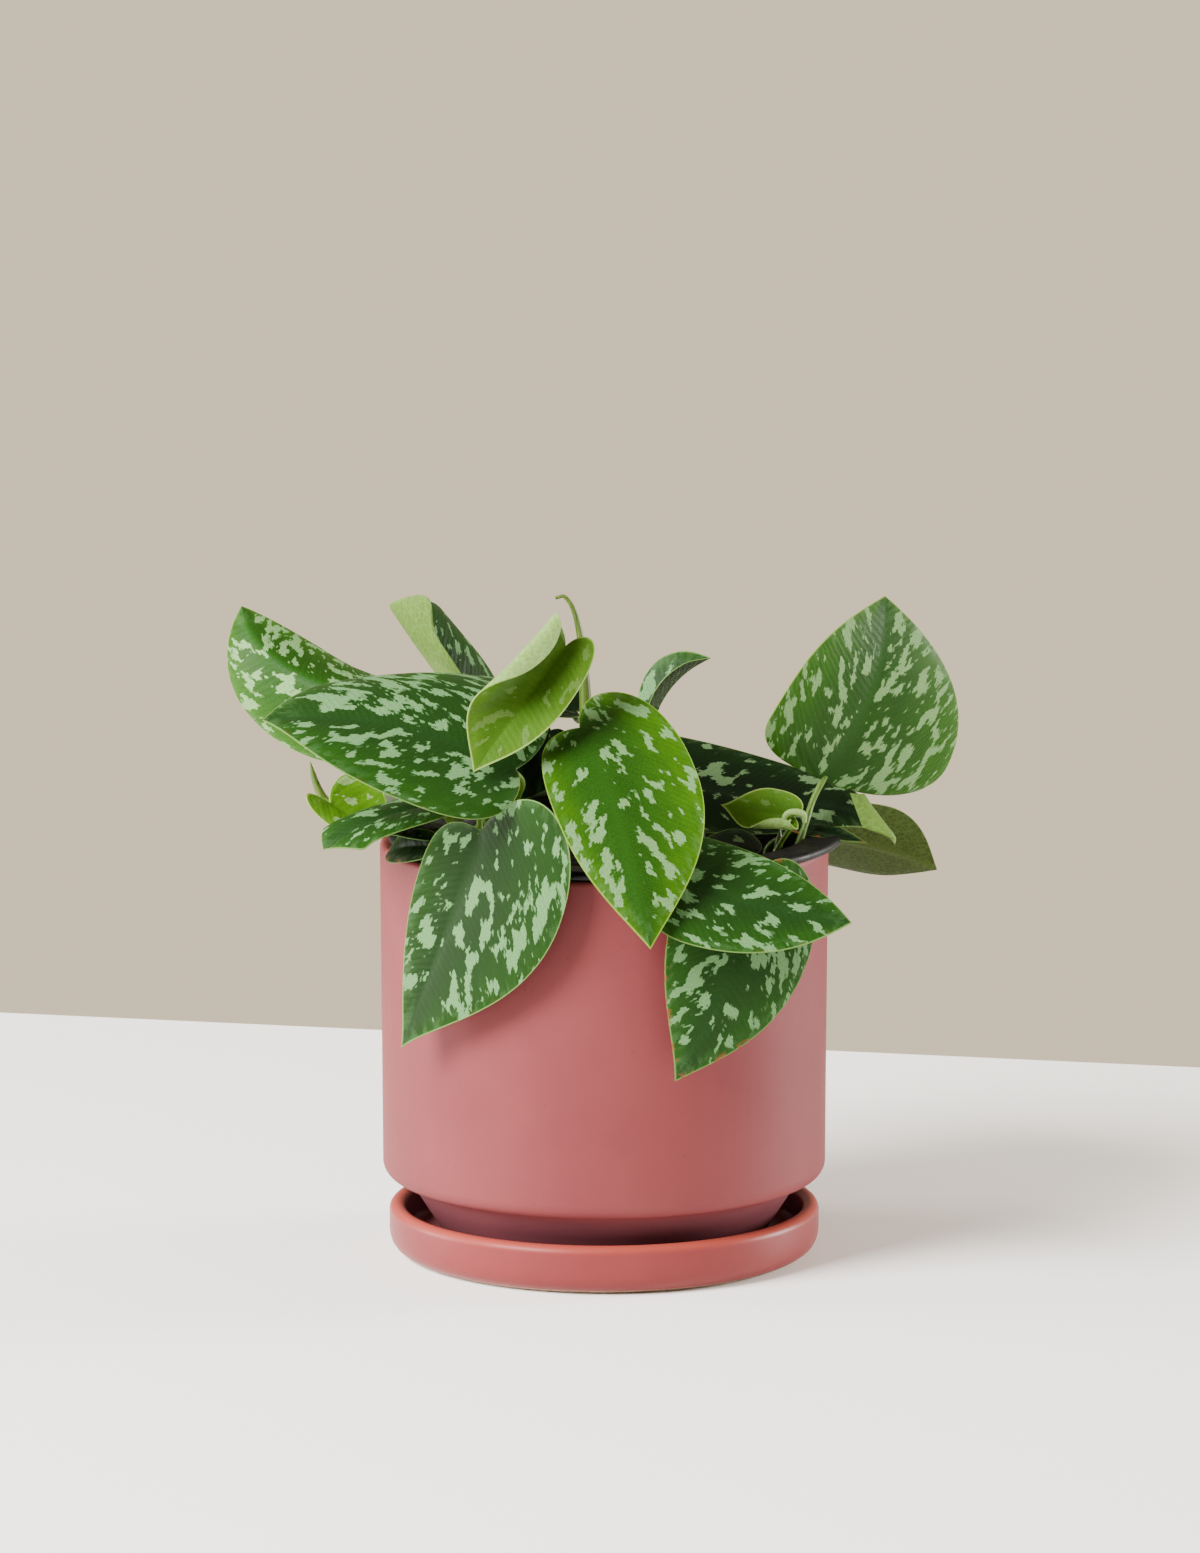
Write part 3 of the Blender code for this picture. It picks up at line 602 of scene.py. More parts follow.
LEAVES = [
    leaf("leaf_front_centre", (-7, -46, 162.6), (13, -92, 107.6), (0.17, -0.86, 0.4), 49, (0.2, 0.01), 0.33,
         ("vine_centre", 0.3), ("fresh", 3, 0.44), blunt=0.71, arch=0.09, cup=(-6, -6), curl=(11, 10),
         halves=(1.11, 0.66)),
    leaf("leaf_front_left", (-35, -56, 134.8), (-58, -52, 70.8), (-0.53, -0.84, 0.11), 61, (0.24, 0), 0.21,
         (-30, -36), ("deep", 11, 0.465), blunt=0.37, arch=-0.01, cup=(10, -1), curl=(-16, -9),
         halves=(1.14, 0.5), stalk=[(-35, -48, 136)]),
    leaf("leaf_left_front", (-25, -58, 153), (-97, -53, 166), (-0.01, -0.73, 0.68), 61, (0.05, 0.07), 0.38,
         ("vine_front_left", 1), ("mature", 5, 0.47), blunt=0.92, arch=0.09, sweep=-0.03, cup=(4, 16),
         curl=(-30, -53), halves=(0.82, 1.43), twist=-34),
    leaf("leaf_left_back", (-69, -8, 165), (-107, 26, 186), (-0.51, -0.79, 0.23), 46, (0.06, 0.12), 0.25,
         ("vine_left", 1), ("bright", 8, 0.48), blunt=1.33, arch=0.1, sweep=0.1, cup=(0, -53),
         curl=(-42, -42), halves=(1.03, 0.91), hook=12),
    leaf("leaf_young_rolled", (-11, -44, 186), (-37, -69, 154), (0.15, -0.9, 0.35), 30, (0.14, 0.1), 0.35,
         ("vine_centre", 0.52), ("young", 2, 0.42), arch=0.02, cup=(15, 8), curl=(10, 170),
         curl_tip=(0, -150), late=(1, 2), halves=(0.74, 1.35)),
    leaf("leaf_top_folded", (-36, 4, 154.3), (-61, 7, 189.3), (0.91, -0.17, 0.25), 41, (0.17, 0.2), 0.62,
         ("vine_left", 0.5), ("mature", 14, 0.45), blunt=2.96, sweep=0.08, cup=(16, 38), curl=(19, -27),
         curl_tip=(26, -46), halves=(1.3, 1.04), twist=16),
    leaf("leaf_right_upright", (63, -6, 140), (81, 0, 193), (0.19, -0.96, 0.12), 62, (-0.02, 0), 0.25,
         (54.2, -16), ("bright", 6, 0.462), blunt=0.83, arch=0.12, sweep=-0.06, cup=(30, -22), curl=(-5, -12),
         halves=(0.98, 1.28), stalk=[(57.7, -13, 127.3), (60.3, -9, 134.8)]),
    leaf("leaf_right_dark", (17, 4, 138.4), (95, -3, 130.4), (0.13, -0.48, 0.84), 39, (0.1, 0.1), 0.02,
         ("vine_right_back", 0.35), ("dark", 9, 0.44), blunt=0.14, arch=-0.03, curl=(5, -21), halves=(1, 0.9),
         hook=68),
    leaf("leaf_right_low", (62, 38, 115), (98, 44, 104), (0.1, 0.76, 0.59), 36, (0.12, 0.12), 0.41,
         ("vine_right_back", 1), ("dull", 4, 0.3), blunt=0.78, arch=0.07, cup=(9, 1), curl=(9, -2),
         halves=(0.99, 1), stalk=[(48, 34, 130), (56, 41, 126)]),
    leaf("leaf_front_right", (20, -73, 123), (70, -76, 112), (0, -0.7, 0.7), 43, (0.12, 0.12), 0.16,
         (13, -40), ("mature", 21, 0.455), blunt=0.77, arch=-0.02, sweep=-0.02, cup=(-3, 9), curl=(-17, -23),
         halves=(0.99, 0.85), stalk=[(16, -52, 128), (19, -64, 126)]),
    leaf("leaf_front_right_hanging", (42, -60, 120), (20, -71, 65), (0.27, -0.94, 0.09), 42, (0.16, 0.08),
         0.2, ("vine_front_right", 1), ("mature", 17, 0.465), blunt=0.46, arch=0.09, sweep=0.03, cup=(-4, -4),
         curl=(-6, 8), halves=(1.06, 1.05), stalk=[(28.5, -42, 127), (31, -51, 127.2), (37, -59, 126)],
         rust=0.8),
    leaf("leaf_back_small", (14, 20, 155), (31, 22, 171), (-0.61, -0.16, 0.75), 17, (0.06, 0.06), 0.44,
         (-4, 25), ("mature", 23, 0.48), blunt=0.94, arch=0.11, sweep=0.01, cup=(46, 28), curl=(5, 14),
         halves=(0.95, 1.02), stalk=[(1, 25, 140)]),
    leaf("leaf_young_furled", (54.4, -30, 133.8), (33.3, -30, 137.4), (0.05, -0.88, 0.45), 15, (0.1, 0.12),
         0.3, (48, -24), ("young", 26, 0.43), blunt=0.2, arch=-0.05, cup=(10, 8), curl=(122, 20),
         curl_tip=(-100, 0), late=(2, 1), halves=(1.35, 0.98)),
    leaf("leaf_young_left", (-79, -14, 135), (-60, -12, 125.5), (0.1, -0.48, 0.86), 25, (0.08, 0.38), 0.36,
         ("vine_left", 0.7), ("lime", 31, 0.44), arch=-0.05, cup=(18, -4), curl=(11, 3), halves=(1.1, 0.69)),
    leaf("leaf_left_narrow", (-44, -30, 138), (-81, -44, 129), (-0.02, -0.14, 0.99), 27, (0.12, 0.12), 0.72,
         ("vine_front_left", 0.6), ("mature", 33, 0.43), blunt=1.88, arch=0.04, sweep=-0.01, cup=(12, 10),
         curl=(-22, -35), halves=(1.07, 1.08), hook=18),
    leaf("leaf_left_inner", (-40, -31, 127.5), (-63, -34, 129.5), (0, -0.2, 0.98), 16, (0.12, 0.12), 0.4,
         ("vine_front_left", 0.35), ("dark", 35, 0.36), arch=0.08),
    leaf("leaf_right_inner", (43, -22, 121.3), (25, -20, 121.3), (0, -0.3, 1), 22, (0.12, 0.12), 0.4,
         (45, -19), ("dark", 37, 0.38), arch=0.06, cup=(4, 4), curl=(5, 5)),
    leaf("leaf_centre_behind", (-21, -8, 167), (-27, -14, 150), (0.1, -0.9, 0.3), 12, (0.2, 0.2), 0.35,
         ("vine_left", 0.36), ("dark", 39, 0.4), arch=0.04, cup=(10, 10), curl=(10, 10)),
    leaf("leaf_centre_flat", (-8, 6, 158), (-25, 12, 159), (0, -0.3, 1), 22, (0.12, 0.12), 0.35,
         ("vine_centre", 0.4), ("dark", 41, 0.44), arch=0.04, cup=(10, 10), curl=(10, 10)),
    leaf("leaf_rear_left", (-34, 34, 140), (-60, 64, 113), (-0.5, 0.6, 0.6), 40, (0.14, 0.14), 0.3, (-28, 26),
         ("mature", 43, 0.47), arch=0.1, cup=(8, 8), curl=(10, 10)),
    leaf("leaf_rear_centre", (-2, 48, 141), (6, 90, 95), (0, 0.9, 0.35), 44, (0.14, 0.14), 0.3,
         ("vine_back", 1), ("bright", 45, 0.47), arch=0.16, cup=(8, 8), curl=(10, 10)),
    leaf("leaf_rear_right", (35, 47, 130), (58, 80, 90), (0.4, 0.85, 0.3), 42, (0.14, 0.14), 0.3, (26, 32),
         ("mature", 47, 0.47), arch=0.16, cup=(8, 8), curl=(10, 10)),
    leaf("leaf_rear_side", (-48, 14, 131), (-78, 32, 117), (-0.2, 0.1, 0.97), 32, (0.14, 0.14), 0.3,
         (-42, 12), ("mature", 49, 0.47), arch=0.1, cup=(8, 8), curl=(10, 10)),
]


def silver_group():
    """The variegation of a leaf, worked out on the flat blade in millimetres from the stalk.

    Silver lies in narrow strips along the side veins, each strip starting and ending by itself, so
    the patches have torn edges. Haze gathers by the margin and the tip.
    """
    strip_width = 0.6
    block_length = 0.85
    tree, given = new_group("silver variegation", {
        "Flat": "Vector", "Edge": "Vector", "Seed": "Float", "Cover": "Float"})
    flat, edge = [node(tree, "ShaderNodeSeparateXYZ", {0: given[name]}).outputs for name in ("Flat", "Edge")]
    x = maths("ABSOLUTE", flat["X"])
    place = maths("MULTIPLY_ADD", maths("GREATER_THAN", flat["X"], 0.0), 40.0, given["Seed"])
    bend = maths("MULTIPLY_ADD", product(x, x), 0.012, product(x, 0.5))
    warp = clouds(given["Flat"], 0.55, 3.0)
    vein = maths("MULTIPLY_ADD", warp, 1.5, maths("SUBTRACT", flat["Y"], bend))
    strip = maths("FLOOR", maths("DIVIDE", vein, strip_width))
    own = node(tree, "ShaderNodeCombineXYZ", {"X": strip, "Y": place}).outputs[0]
    jolt = node(tree, "ShaderNodeTexWhiteNoise", {"Vector": own}, noise_dimensions="2D").outputs["Value"]
    run = maths("MULTIPLY_ADD", jolt, 0.45, maths("MULTIPLY_ADD", warp, 0.8, x))
    block = product(maths("FLOOR", maths("DIVIDE", run, block_length)), block_length)
    lane = product(strip, strip_width)
    where, small = [node(tree, "ShaderNodeCombineXYZ", {
        "X": product(block, along), "Y": product(lane, beside), "Z": place}).outputs[0]
        for along, beside in ((0.26, 0.16), (0.7, 0.8))]
    broad = {"Vector": given["Flat"], "Scale": 0.07, "Detail": 0.0, "W": place}
    tides = node(tree, "ShaderNodeTexNoise", broad, noise_dimensions="4D").outputs["Fac"]
    limit = maths("MULTIPLY_ADD", tides, 0.3, maths("SUBTRACT", 0.87, given["Cover"]))
    limit = maths("ADD", limit, rise(x, 0.8, 3.6, 0.14, 0.0))
    limit = maths("ADD", limit, rise(edge["X"], 0.5, 2.5, 0.05, 0.0))
    patch = rise(maths("SUBTRACT", clouds(where, 1.0, 1.5), limit), -0.006, 0.012)
    above = maths("SUBTRACT", clouds(small, 1.0, 1.0), maths("ADD", limit, 0.13))
    silver = maths("MAXIMUM", patch, product(rise(above, -0.006, 0.02), 0.8))
    by_margin = rise(edge["X"], 0.6, 3.4, 1.0, 0.0)
    rim = maths("MAXIMUM", by_margin, rise(edge["Y"], 0.8, 1.0))
    span = maths("ADD", maths("ADD", x, edge["X"]), 0.01)
    close = node(tree, "ShaderNodeVectorMath", {0: given["Flat"], "Scale": 2.6}, operation="SCALE").outputs[0]
    grain = clouds(close, 1.0, 3.0, 0.7)
    age = rise(clouds(given["Flat"], 0.3, 4.0), 0.56, 0.62)
    worn = product(rise(edge["X"], 0.1, 1.3, 1.0, 0.0), age)
    ridge = maths("SINE", product(vein, 2.9))
    height = maths("MULTIPLY_ADD", ridge, 0.16, product(grain, 0.5))
    return finish_group(tree, {
        "Silver": silver,
        "Haze": product(rim, rise(clouds(where, 1.7, 3.0), 0.44, 0.62)),
        "Margin": rise(edge["X"], 0.1, 0.34, 1.0, 0.0),
        "Rib": rise(x, 0.2, 3.0, 1.0, 0.0),
        "Across": maths("DIVIDE", x, span),
        "Mottle": rise(clouds(where, 0.8, 4.0, 0.7), 0.3, 0.7),
        "Grain": grain,
        "Rust": maths("MAXIMUM", worn, rise(edge["Y"], 0.985, 0.997)),
        "Height": maths("MULTIPLY_ADD", silver, 0.22, height)})


silver_pattern = silver_group()


def silver_on(tree, seed, cover):
    """The flat blade's map in a leaf's material, and the variegation placed on it."""
    flat, edge = [node(tree, "ShaderNodeUVMap", uv_map=name).outputs[0] for name in ("flat", "edge")]
    given = {"Flat": flat, "Edge": edge, "Seed": seed, "Cover": cover}
    return flat, node(tree, "ShaderNodeGroup", given, node_tree=silver_pattern).outputs


# Each green by its centre, outer part, rib, silver and margin.
GREENS = {
    "mature": ((21, 46, 14), (28, 62, 12), (24, 52, 20), (98, 141, 90), (90, 120, 60)),
    "deep": ((14, 37, 7), (21, 50, 6), (18, 42, 12), (90, 132, 82), (90, 120, 60)),
    "bright": ((24, 56, 10), (38, 78, 4), (30, 66, 20), (112, 151, 94), (104, 134, 56)),
    "fresh": ((24, 57, 12), (48, 86, 4), (32, 70, 16), (106, 146, 92), (108, 140, 48)),
    "young": ((50, 82, 16), (62, 94, 20), (60, 92, 24), (86, 118, 52), (124, 150, 76)),
    "lime": ((62, 100, 12), (74, 116, 14), (72, 110, 22), (128, 160, 96), (126, 154, 66)),
    "dull": ((34, 58, 5), (44, 68, 6), (44, 66, 18), (48, 70, 20), (80, 98, 46)),
    "dark": ((7, 20, 6), (12, 32, 9), (14, 33, 16), (88, 116, 76), (74, 100, 52)),
}


def leaf_top(name, green, seed, cover, rust):
    """The upper side of one leaf; rust is how far its margin and tip have browned."""
    made, tree = new_material(name, Specular_IOR_Level=0.07)
    effect = silver_on(tree, seed, cover)[1]
    centre, outer, rib, silver, margin = GREENS[green]
    base = blend(rise(effect["Across"], 0.3, 1.05), centre, outer)
    base = blend(product(effect["Mottle"], 0.4), base, (*centre, 0.75))
    base = blend(rise(effect["Grain"], 0.42, 0.68, 0.0, 0.3), base, (*outer, 1.3))
    pale = blend(rise(effect["Grain"], 0.35, 0.7), (*silver, 0.78), silver)
    for label, amount, tint in (("Rib", 0.4, rib), ("Haze", 0.16, pale), ("Silver", 0.95, pale),
                                ("Margin", 0.85, margin), ("Rust", rust, (112, 68, 38))):
        base = blend(product(effect[label], amount), base, tint)
    satin = rise(effect["Grain"], 0.3, 0.7, 0.38, 0.48)
    rough = maths("MULTIPLY_ADD", effect["Silver"], 0.12, satin)
    return dress(made, base, effect["Height"], 0.35, 0.0004, rough)


def leaf_back(name, pale, vein):
    """The underside: matt, pale, with the vein net standing out lighter."""
    made, tree = new_material(name, Specular_IOR_Level=0.2)
    flat, effect = silver_on(tree, 60.0, 0.3)
    net = node(tree, "ShaderNodeTexVoronoi", {"Vector": flat, "Scale": 0.55}, feature="DISTANCE_TO_EDGE")
    dull = [c * 0.88 for c in colour(*pale)[:3]] + [1]
    base = blend(effect["Mottle"], pale, dull)
    base = blend(rise(net.outputs["Distance"], 0.02, 0.12, 0.5, 0.0), base, vein)
    base = blend(product(effect["Rib"], 0.5), base, vein)
    matt = rise(effect["Grain"], 0.3, 0.7, 0.55, 0.7)
    return dress(made, base, effect["Height"], 0.4, 0.0005, matt)


def half_outline(width, lobe, widest, blunt):
    """One half of a flat leaf of unit length: margin points, and where each row leaves the midrib."""
    lobe_rows = LEAF_ROWS // 2
    tip_rows = LEAF_ROWS - lobe_rows
    half = width / 2
    rest = 1 - widest
    back = [(0, 0), (-1.5 * lobe, 0.2 * half), (-1.25 * lobe - 0.02, half), (widest, half)]
    front = [(widest, half), (widest + 0.52 * rest, half), (0.83, 0.62 * blunt * half), (1, 0)]
    back, front = [[Vector(p) for p in line] for line in (back, front)]
    margin = [(cubic(back, k / lobe_rows), 0.1 * (k / lobe_rows) ** 1.3) for k in range(lobe_rows + 1)]
    for k in range(1, tip_rows + 1):
        t = k / tip_rows
        margin.append((cubic(front, t), 0.1 + 0.9 * t ** 1.08))
    return margin


class Blade:
    """A leaf blade: a flat heart shape laid on an arched midrib and cupped to either side."""

    def __init__(self, spec):
        self.spec = spec
        self.base = Vector(spec.base)
        chord = Vector(spec.tip) - self.base
        self.length = chord.length
        self.along = chord.normalized()
        facing = Vector(spec.facing)
        self.normal = (facing - self.along * facing.dot(self.along)).normalized()
        self.side = self.normal.cross(self.along)

    def midrib(self, u):
        """A point of the midrib, with u from 0 at the stalk to 1 at the tip."""
        length = self.length
        bow = 4 * length * u * (1 - u)
        bend = math.radians(self.spec.hook)
        late = min(max((u - 0.6) / 0.4, 0), 1) ** 2
        point = self.base + self.along * (u * length)
        point += self.normal * (bow * self.spec.arch) + self.side * (bow * self.spec.sweep)
        point -= self.normal * (0.2 * length * math.sin(bend) * late)
        point -= self.along * (0.2 * length * (1 - math.cos(bend)) * late)
        return point

    def axes(self, u):
        """The midrib point at u, its direction, the upper side's direction and the side direction."""
        ahead = (self.midrib(u + 0.01) - self.midrib(u - 0.01)).normalized()
        upper = (self.normal - ahead * self.normal.dot(ahead)).normalized()
        side = upper.cross(ahead)
        turn = math.radians(self.spec.twist) * u
        return (self.midrib(u), ahead, upper * math.cos(turn) + side * math.sin(turn),
                side * math.cos(turn) - upper * math.sin(turn))

    def half(self, index):
        """Rows of (point, flat place, distance from the margin) from the midrib out to the margin."""
        spec = self.spec
        length = self.length
        sign = 1 - 2 * index
        cup, curl, curl_tip = [math.radians(pair[index]) for pair in (spec.cup, spec.curl, spec.curl_tip)]
        reach = spec.halves[index]
        width = spec.width / length
        slices = 24
        most = math.radians(200)
        grid = []
        for i, (edge, start) in enumerate(half_outline(width, spec.lobes[index], spec.widest, spec.blunt)):
            ends = math.sin(math.pi * min(1, i / LEAF_ROWS * 1.1))
            row = []
            for j in range(LEAF_COLUMNS + 1):
                v = (j / LEAF_COLUMNS) ** 0.9
                u = start + (edge.x - start) * v ** 1.25
                point, _, upper, side = self.axes(u)
                out = 0.0
                lift = 0.0
                distance = edge.y * v * reach
                for k in range(slices):
                    share = distance * (k + 0.5) / slices / (width / 2)
                    angle = min(cup + (curl + curl_tip * max(u, 0)) * share ** spec.late[index], most)
                    out += math.cos(angle) * distance / slices
                    lift += math.sin(angle) * distance / slices
                place = Vector((i * 4.4 / LEAF_ROWS, spec.skin[1] * 3.1, index * 5.0))
                relief = 0.9 * v * v * ends * noise.noise(place)
                waves = math.sin((u * length - 0.5 * distance * length) * 1.15)
                relief += 0.1 * waves * min(1, v * 4) * (1 - v * v) * ends
                relief -= 0.5 * math.exp(-(distance * length / 1.1) ** 2) * ends
                point = point + (side * (sign * out) + upper * lift) * length + upper * relief
                row.append((point, (sign * distance * length, u * length),
                            (edge.y * reach * (1 - v) * length, min(1, max(0, u)))))
            grid.append(row)
        return grid


def stalk_line(blade):
    """The leaf stalk's centreline, from the vine or the mix up to the blade's notch."""
    foot = blade.spec.foot
    point, ahead, upper, _ = blade.axes(0)
    end = point - upper * 0.3 + ahead * 1.6
    passing = [Vector(p) for p in blade.spec.stalk]
    ground = []
    if isinstance(foot[0], str):
        route = vine_line(foot[0], 4)
        radii = vine_radii(foot[0], route)
        place = foot[1] * (len(route) - 1)
        k = min(int(place), len(route) - 2)
        along = (route[k + 1] - route[k]).normalized()
        if foot[1] == 1:
            ground = [route[-1] - along * 0.6]
            start = route[-1] + along * 3.5
            lead = along
        else:
            centre = route[k].lerp(route[k + 1], place - k)
            lead = (passing + [end])[0] - centre
            lead = (lead - along * lead.dot(along)).normalized()
            start = centre + lead * radii[k] * 0.5
    else:
        ground = [Vector((foot[0], foot[1], SOIL_Z - 11))]
        start = Vector((foot[0], foot[1], SOIL_Z + 2.5))
        lead = Vector((0, 0, 1))
    if passing:
        return ground + smooth_route([start] + passing + [end], 8)
    reach = (end - start).length
    meet = (-ahead * 0.4 - upper * 0.6).normalized()
    controls = (start, start + lead * (0.4 * reach), end + meet * (0.35 * reach), end)
    return ground + [cubic(controls, k / 18) for k in range(19)]


def edge_faces(border, count):
    """The faces that join a skin's border to its copy's, whose points come count later."""
    return [(a, b, b + count, a + count) for a, b in zip(border, border[1:] + border[:1])]


def lay_maps(ob, flat, edge):
    """Store each point's flat place and its distance from the margin as two UV maps."""
    for label, values in (("flat", flat), ("edge", edge)):
        layer = ob.data.uv_layers.new(name=label)
        for loop in ob.data.loops:
            layer.data[loop.index].uv = values[loop.vertex_index]


def grow_leaf(spec, below, stalk_skin):
    """One leaf: its blade with thickness, upper side and underside, and its stalk."""
    blade = Blade(spec)
    rows = LEAF_ROWS
    columns = LEAF_COLUMNS
    found = []
    ids = {}
    for h in (0, 1):
        for i, row in enumerate(blade.half(h)):
            for j, here in enumerate(row):
                key = (0, i, 0) if (i in (0, rows) or j == 0) else (h, i, j)
                if key not in ids:
                    ids[key] = len(found)
                    found.append(here)
                ids[(h, i, j)] = ids[key]
    points, flat, edge = [list(part) for part in zip(*found)]
    top = []
    for h in (0, 1):
        for i in range(rows):
            for j in range(columns):
                corners = [ids[(h, i, j)], ids[(h, i + 1, j)], ids[(h, i + 1, j + 1)], ids[(h, i, j + 1)]]
                corners = list(dict.fromkeys(corners))
                if len(corners) > 2:
                    top.append(corners if h == 0 else corners[::-1])
    normals = [Vector() for _ in points]
    for face in top:
        across = (points[face[1]] - points[face[0]]).cross(points[face[2]] - points[face[0]])
        for c in face:
            normals[c] += across
    thick = [0.14 + 0.26 * min(1, e[0] / 2.0) for e in edge]
    upper = [p + n.normalized() * t for p, n, t in zip(points, normals, thick)]
    under = [p - n.normalized() * t for p, n, t in zip(points, normals, thick)]
    for i in range(rows + 1):
        k = ids[(0, i, 0)]
        under[k] = under[k] - normals[k].normalized() * 0.7 * (1 - i / rows)
    count = len(points)
    verts = upper + under
    rim = [ids[(0, i, columns)] for i in range(rows + 1)]
    rim += [ids[(1, i, columns)] for i in range(rows - 1, 0, -1)]
    walls = edge_faces(rim, count)
    faces = top + [[c + count for c in face[::-1]] for face in top] + walls
    slots = [0] * len(top) + [1] * len(top) + [0] * len(walls)
    line = stalk_line(blade)
    slim = 0.8 if blade.length < 35 else 1.0
    shares = [k / len(line) for k in range(len(line))]
    width = [1.1 * slim * (1.3 - 0.4 * min(1, 3 * share) - 0.1 * share) for share in shares]
    more, extra = tube(line, width, 12)
    faces += [[c + len(verts) for c in face] for face in extra]
    verts += more
    slots += [2] * len(extra)
    above = leaf_top(spec.name + " top", *spec.skin, spec.rust)
    ob = piece(spec.name + "_blade", verts, faces, [above, below, stalk_skin], slots, smooth=75)
    lay_maps(ob, flat + flat + [(0, 0)] * len(more), edge + edge + [(5, 0)] * len(more))
    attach(ob, "root")
    return ob


old_back = leaf_back("pale leaf underside", (60, 88, 34), (84, 112, 52))
young_back = leaf_back("young leaf underside", (110, 142, 70), (128, 158, 92))
soft_back = leaf_back("folded leaf underside", (74, 103, 32), (94, 123, 52))
shade_back = leaf_back("shaded leaf underside", (27, 47, 9), (38, 60, 17))
dull_back = leaf_back("dull leaf underside", (47, 68, 12), (72, 92, 38))
stalk_green = stem_skin("leaf stalk", (78, 108, 30), (58, 88, 20), (92, 112, 40))
backs = dict(young=young_back, lime=young_back, fresh=young_back, dull=dull_back,
             leaf_top_folded=soft_back, leaf_back_small=shade_back)
for spec in LEAVES:
    back = backs.get(spec.name, backs.get(spec.skin[0], old_back))
    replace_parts(grow_leaf(spec, back, stalk_green), spec.name)

# Small growth at the rim
# A dark leaf low in the gap at the centre, two undersized ones over the lip, one drying red along its
# margin, the curl of the furled leaf, a pointed shoot at the left and a sheath round a stalk's foot.

SMALL_LEAVES = [
    leaf("leaf_gap_dark", (-15.5, 3, 153), (-25, 1, 132), (0.1, -0.95, 0.3), 17, (0.08, 0.08), 0.35, (-8, 10),
         ("dark", 57, 0.4), arch=0.03, cup=(6, 6), stalk=[(-8, 9, 130), (-9.5, 6, 149)]),
    leaf("leaf_rim_left", (-49, -42, 127.4), (-63, -22, 120.4), (-0.5, -0.6, 0.6), 11, (0.08, 0.08), 0.35,
         ("vine_front_left", 0.3), ("dark", 51, 0.36), arch=0.1, cup=(6, 6), stalk=[(-36, -45, 129)],
         rust=0.8),
    leaf("leaf_rim_right", (54, -8, 126.4), (76, -9, 122), (0, -0.35, 0.94), 8, (0.04, 0.04), 0.4, (47, -3),
         ("dark", 55, 0.36), arch=0.04, cup=(6, 6), rust=0.9),
]
for spec in SMALL_LEAVES:
    grow_leaf(spec, old_back, stalk_green)

SHOOT_STEPS = 5
SHOOTS = [
    ("young_curl", young_back, (0.7, 1.0, 1.0, 0.9, 0.8, 0.7, 0.5, 0.2),
     [(57.4, -30.2, 132.4), (57.1, -31.4, 134.7), (55.3, -32, 135.6), (53.1, -32.2, 135.5),
      (51.8, -32.3, 134.4), (51.8, -32.4, 133.1), (52.9, -32.5, 132.8), (53.5, -32.6, 133.6)]),
    ("young_shoot", stem_green, (1.1, 1.2, 1.25, 0.85, 0.12),
     [(-77.5, -11, 133), (-80.2, -9.5, 134.6), (-82.3, -9, 137.4), (-84, -9, 142.3), (-84.8, -9, 146)]),
    ("stalk_sheath", stem_green, (1.3, 1.7, 1.2, 0.12),
     [(50.2, -16.2, 113), (50.0, -17.2, 119), (50.3, -18.0, 124), (50.7, -18.4, 128.5)]),
]
for name, shoot_skin, widths, line in SHOOTS:
    radii = [before + (after - before) * j / SHOOT_STEPS
             for before, after in zip(widths, widths[1:]) for j in range(SHOOT_STEPS)] + [widths[-1]]
    verts, faces = tube(smooth_route(line, SHOOT_STEPS), radii, 10)
    shoot = piece(name, verts, faces, [shoot_skin], smooth=75)
    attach(shoot, "root")

# Turned tip of the dark leaf
# The last part of the dark leaf at the right, folded over so that its pale underside shows, with a
# dry point at the end; a thin double skin that starts at the fold.

FOLD = [((71.1, -3, 135.7), (75.3, -3, 135.4)), ((72.4, -4, 132.1), (77.5, -4, 132.1)),
        ((73.7, -5, 128.7), (79.8, -5, 129.2)), ((74.8, -6.5, 126.1), (81.9, -6.5, 126.6)),
        ((79.2, -7, 124.7), (83.5, -7, 124.7)), ((82.4, -7, 123.5), (84.4, -7, 123.2)),
        ((83.8, -7, 121.7), (84.2, -7, 121.6))]
FOLD_COLUMNS = 7
FOLD_SWELL = 0.9
FOLD_SKIN = Vector((0.05, 0.45, 0))

verts = []
flat = []
edge = []
for k, (left, right) in enumerate(FOLD):
    for j in range(FOLD_COLUMNS):
        across = j / (FOLD_COLUMNS - 1)
        swell = FOLD_SWELL * (1 - (2 * across - 1) ** 2)
        verts.append(Vector(left).lerp(Vector(right), across) - Vector((0, swell, 0)))
        flat.append(((across - 0.9) * 6, 30 + k * 3))
        edge.append((min(across, 1 - across) * (Vector(right) - Vector(left)).length, 0.7 + 0.05 * k))
front = len(verts)
verts += [v + FOLD_SKIN for v in verts]
starts = range(0, front, FOLD_COLUMNS)
faces = []
for start in starts[:-1]:
    for a in range(start, start + FOLD_COLUMNS - 1):
        b = a + FOLD_COLUMNS
        faces += [(a, b, b + 1, a + 1), (front + a + 1, front + b + 1, front + b, front + a)]
border = list(range(FOLD_COLUMNS)) + [start + FOLD_COLUMNS - 1 for start in starts[1:]]
border += list(range(front - 2, starts[-1] - 1, -1)) + list(starts[-2:0:-1])
turned = piece("leaf_dark_fold", verts, faces + edge_faces(border, front), [soft_back], smooth=60)
lay_maps(turned, flat * 2, edge * 2)
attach(turned, "root")

# The floor, the light and the view
# A white table top that ends behind the pot, a warm grey wall behind it, one broad soft lamp from the
# front left as from a window, and a weaker low one from either side.

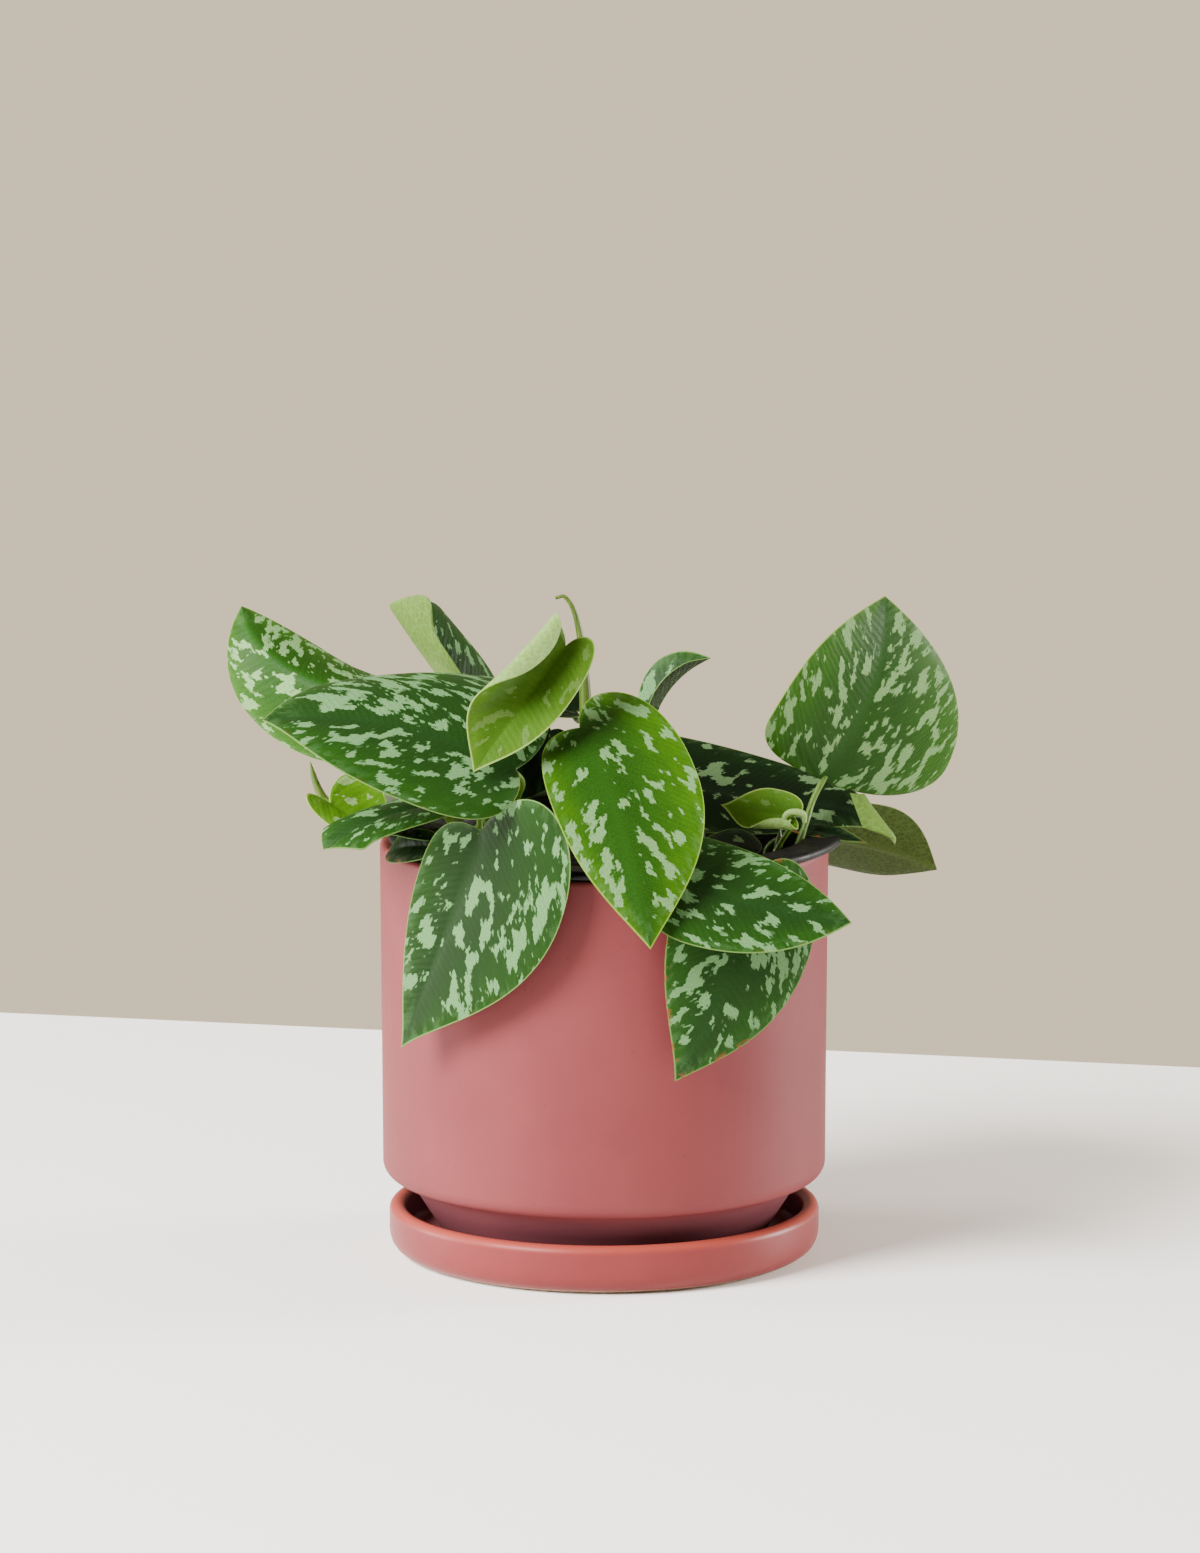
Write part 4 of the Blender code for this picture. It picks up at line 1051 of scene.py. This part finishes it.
TABLE = [(-1400, -1500), (1400, -1500), (1400, -22), (190, 251), (-194, 336), (-1400, 603)]
TABLE_Z = -0.1
LAMP_AIM = Vector((0, 0, 0.1))
VIEW_AIM = Vector((-0.0012, 0, 0.140))
VIEW_AWAY = 3.0
VIEW_TILT = math.radians(10.5)

floor_white = new_material("white table", Roughness=0.6, Base_Color=colour(253, 252, 248))[0]
table = piece("table_top", [(x, y, TABLE_Z) for x, y in TABLE], [range(len(TABLE))], [floor_white])

world = bpy.data.worlds.new("warm grey wall")
bpy.context.scene.world = world
world.use_nodes = True
air = world.node_tree
glow = air.nodes["Background"]
glow.inputs["Color"].default_value = (0.64, 0.53, 0.42, 1)
glow.inputs["Strength"].default_value = 0.9
wall = node(air, "ShaderNodeBackground", {"Color": (1.0, 0.825, 0.59, 1), "Strength": 1.0})
seen = node(air, "ShaderNodeLightPath").outputs["Is Camera Ray"]
both = node(air, "ShaderNodeMixShader", {0: seen, 1: glow.outputs[0], 2: wall.outputs[0]})
air.links.new(both.outputs[0], air.nodes["World Output"].inputs["Surface"])


def aimed(name, data, place, target):
    """Put a lamp or the camera at a place, turned to face a target."""
    ob = bpy.data.objects.new(name, data)
    ob.location = place
    ob.rotation_euler = (target - Vector(place)).to_track_quat("-Z", "Y").to_euler()
    bpy.context.scene.collection.objects.link(ob)
    return ob


for name, place, size, power, tint in (
        ("window_lamp", (-1.67, -1.4, 1.52), 1.3, 285, (1.0, 0.985, 0.965)),
        ("left_lamp", (-2.3, 0.4, 0.45), 0.9, 84, (1.0, 0.96, 0.91)),
        ("right_lamp", (1.8, 0.48, 0.34), 0.6, 78, (1.0, 0.96, 0.92))):
    lamp = bpy.data.lights.new(name, "AREA")
    lamp.shape = "SQUARE"
    lamp.size = size
    lamp.energy = power
    lamp.color = tint
    aimed(name, lamp, place, LAMP_AIM)

view = bpy.data.cameras.new("view")
view.sensor_fit = "VERTICAL"
view.sensor_height = 36
view.lens = 240.2
view.clip_end = 20
back_off = Vector((0, -VIEW_AWAY * math.cos(VIEW_TILT), VIEW_AWAY * math.sin(VIEW_TILT)))
bpy.context.scene.camera = aimed("view", view, VIEW_AIM + back_off, VIEW_AIM)
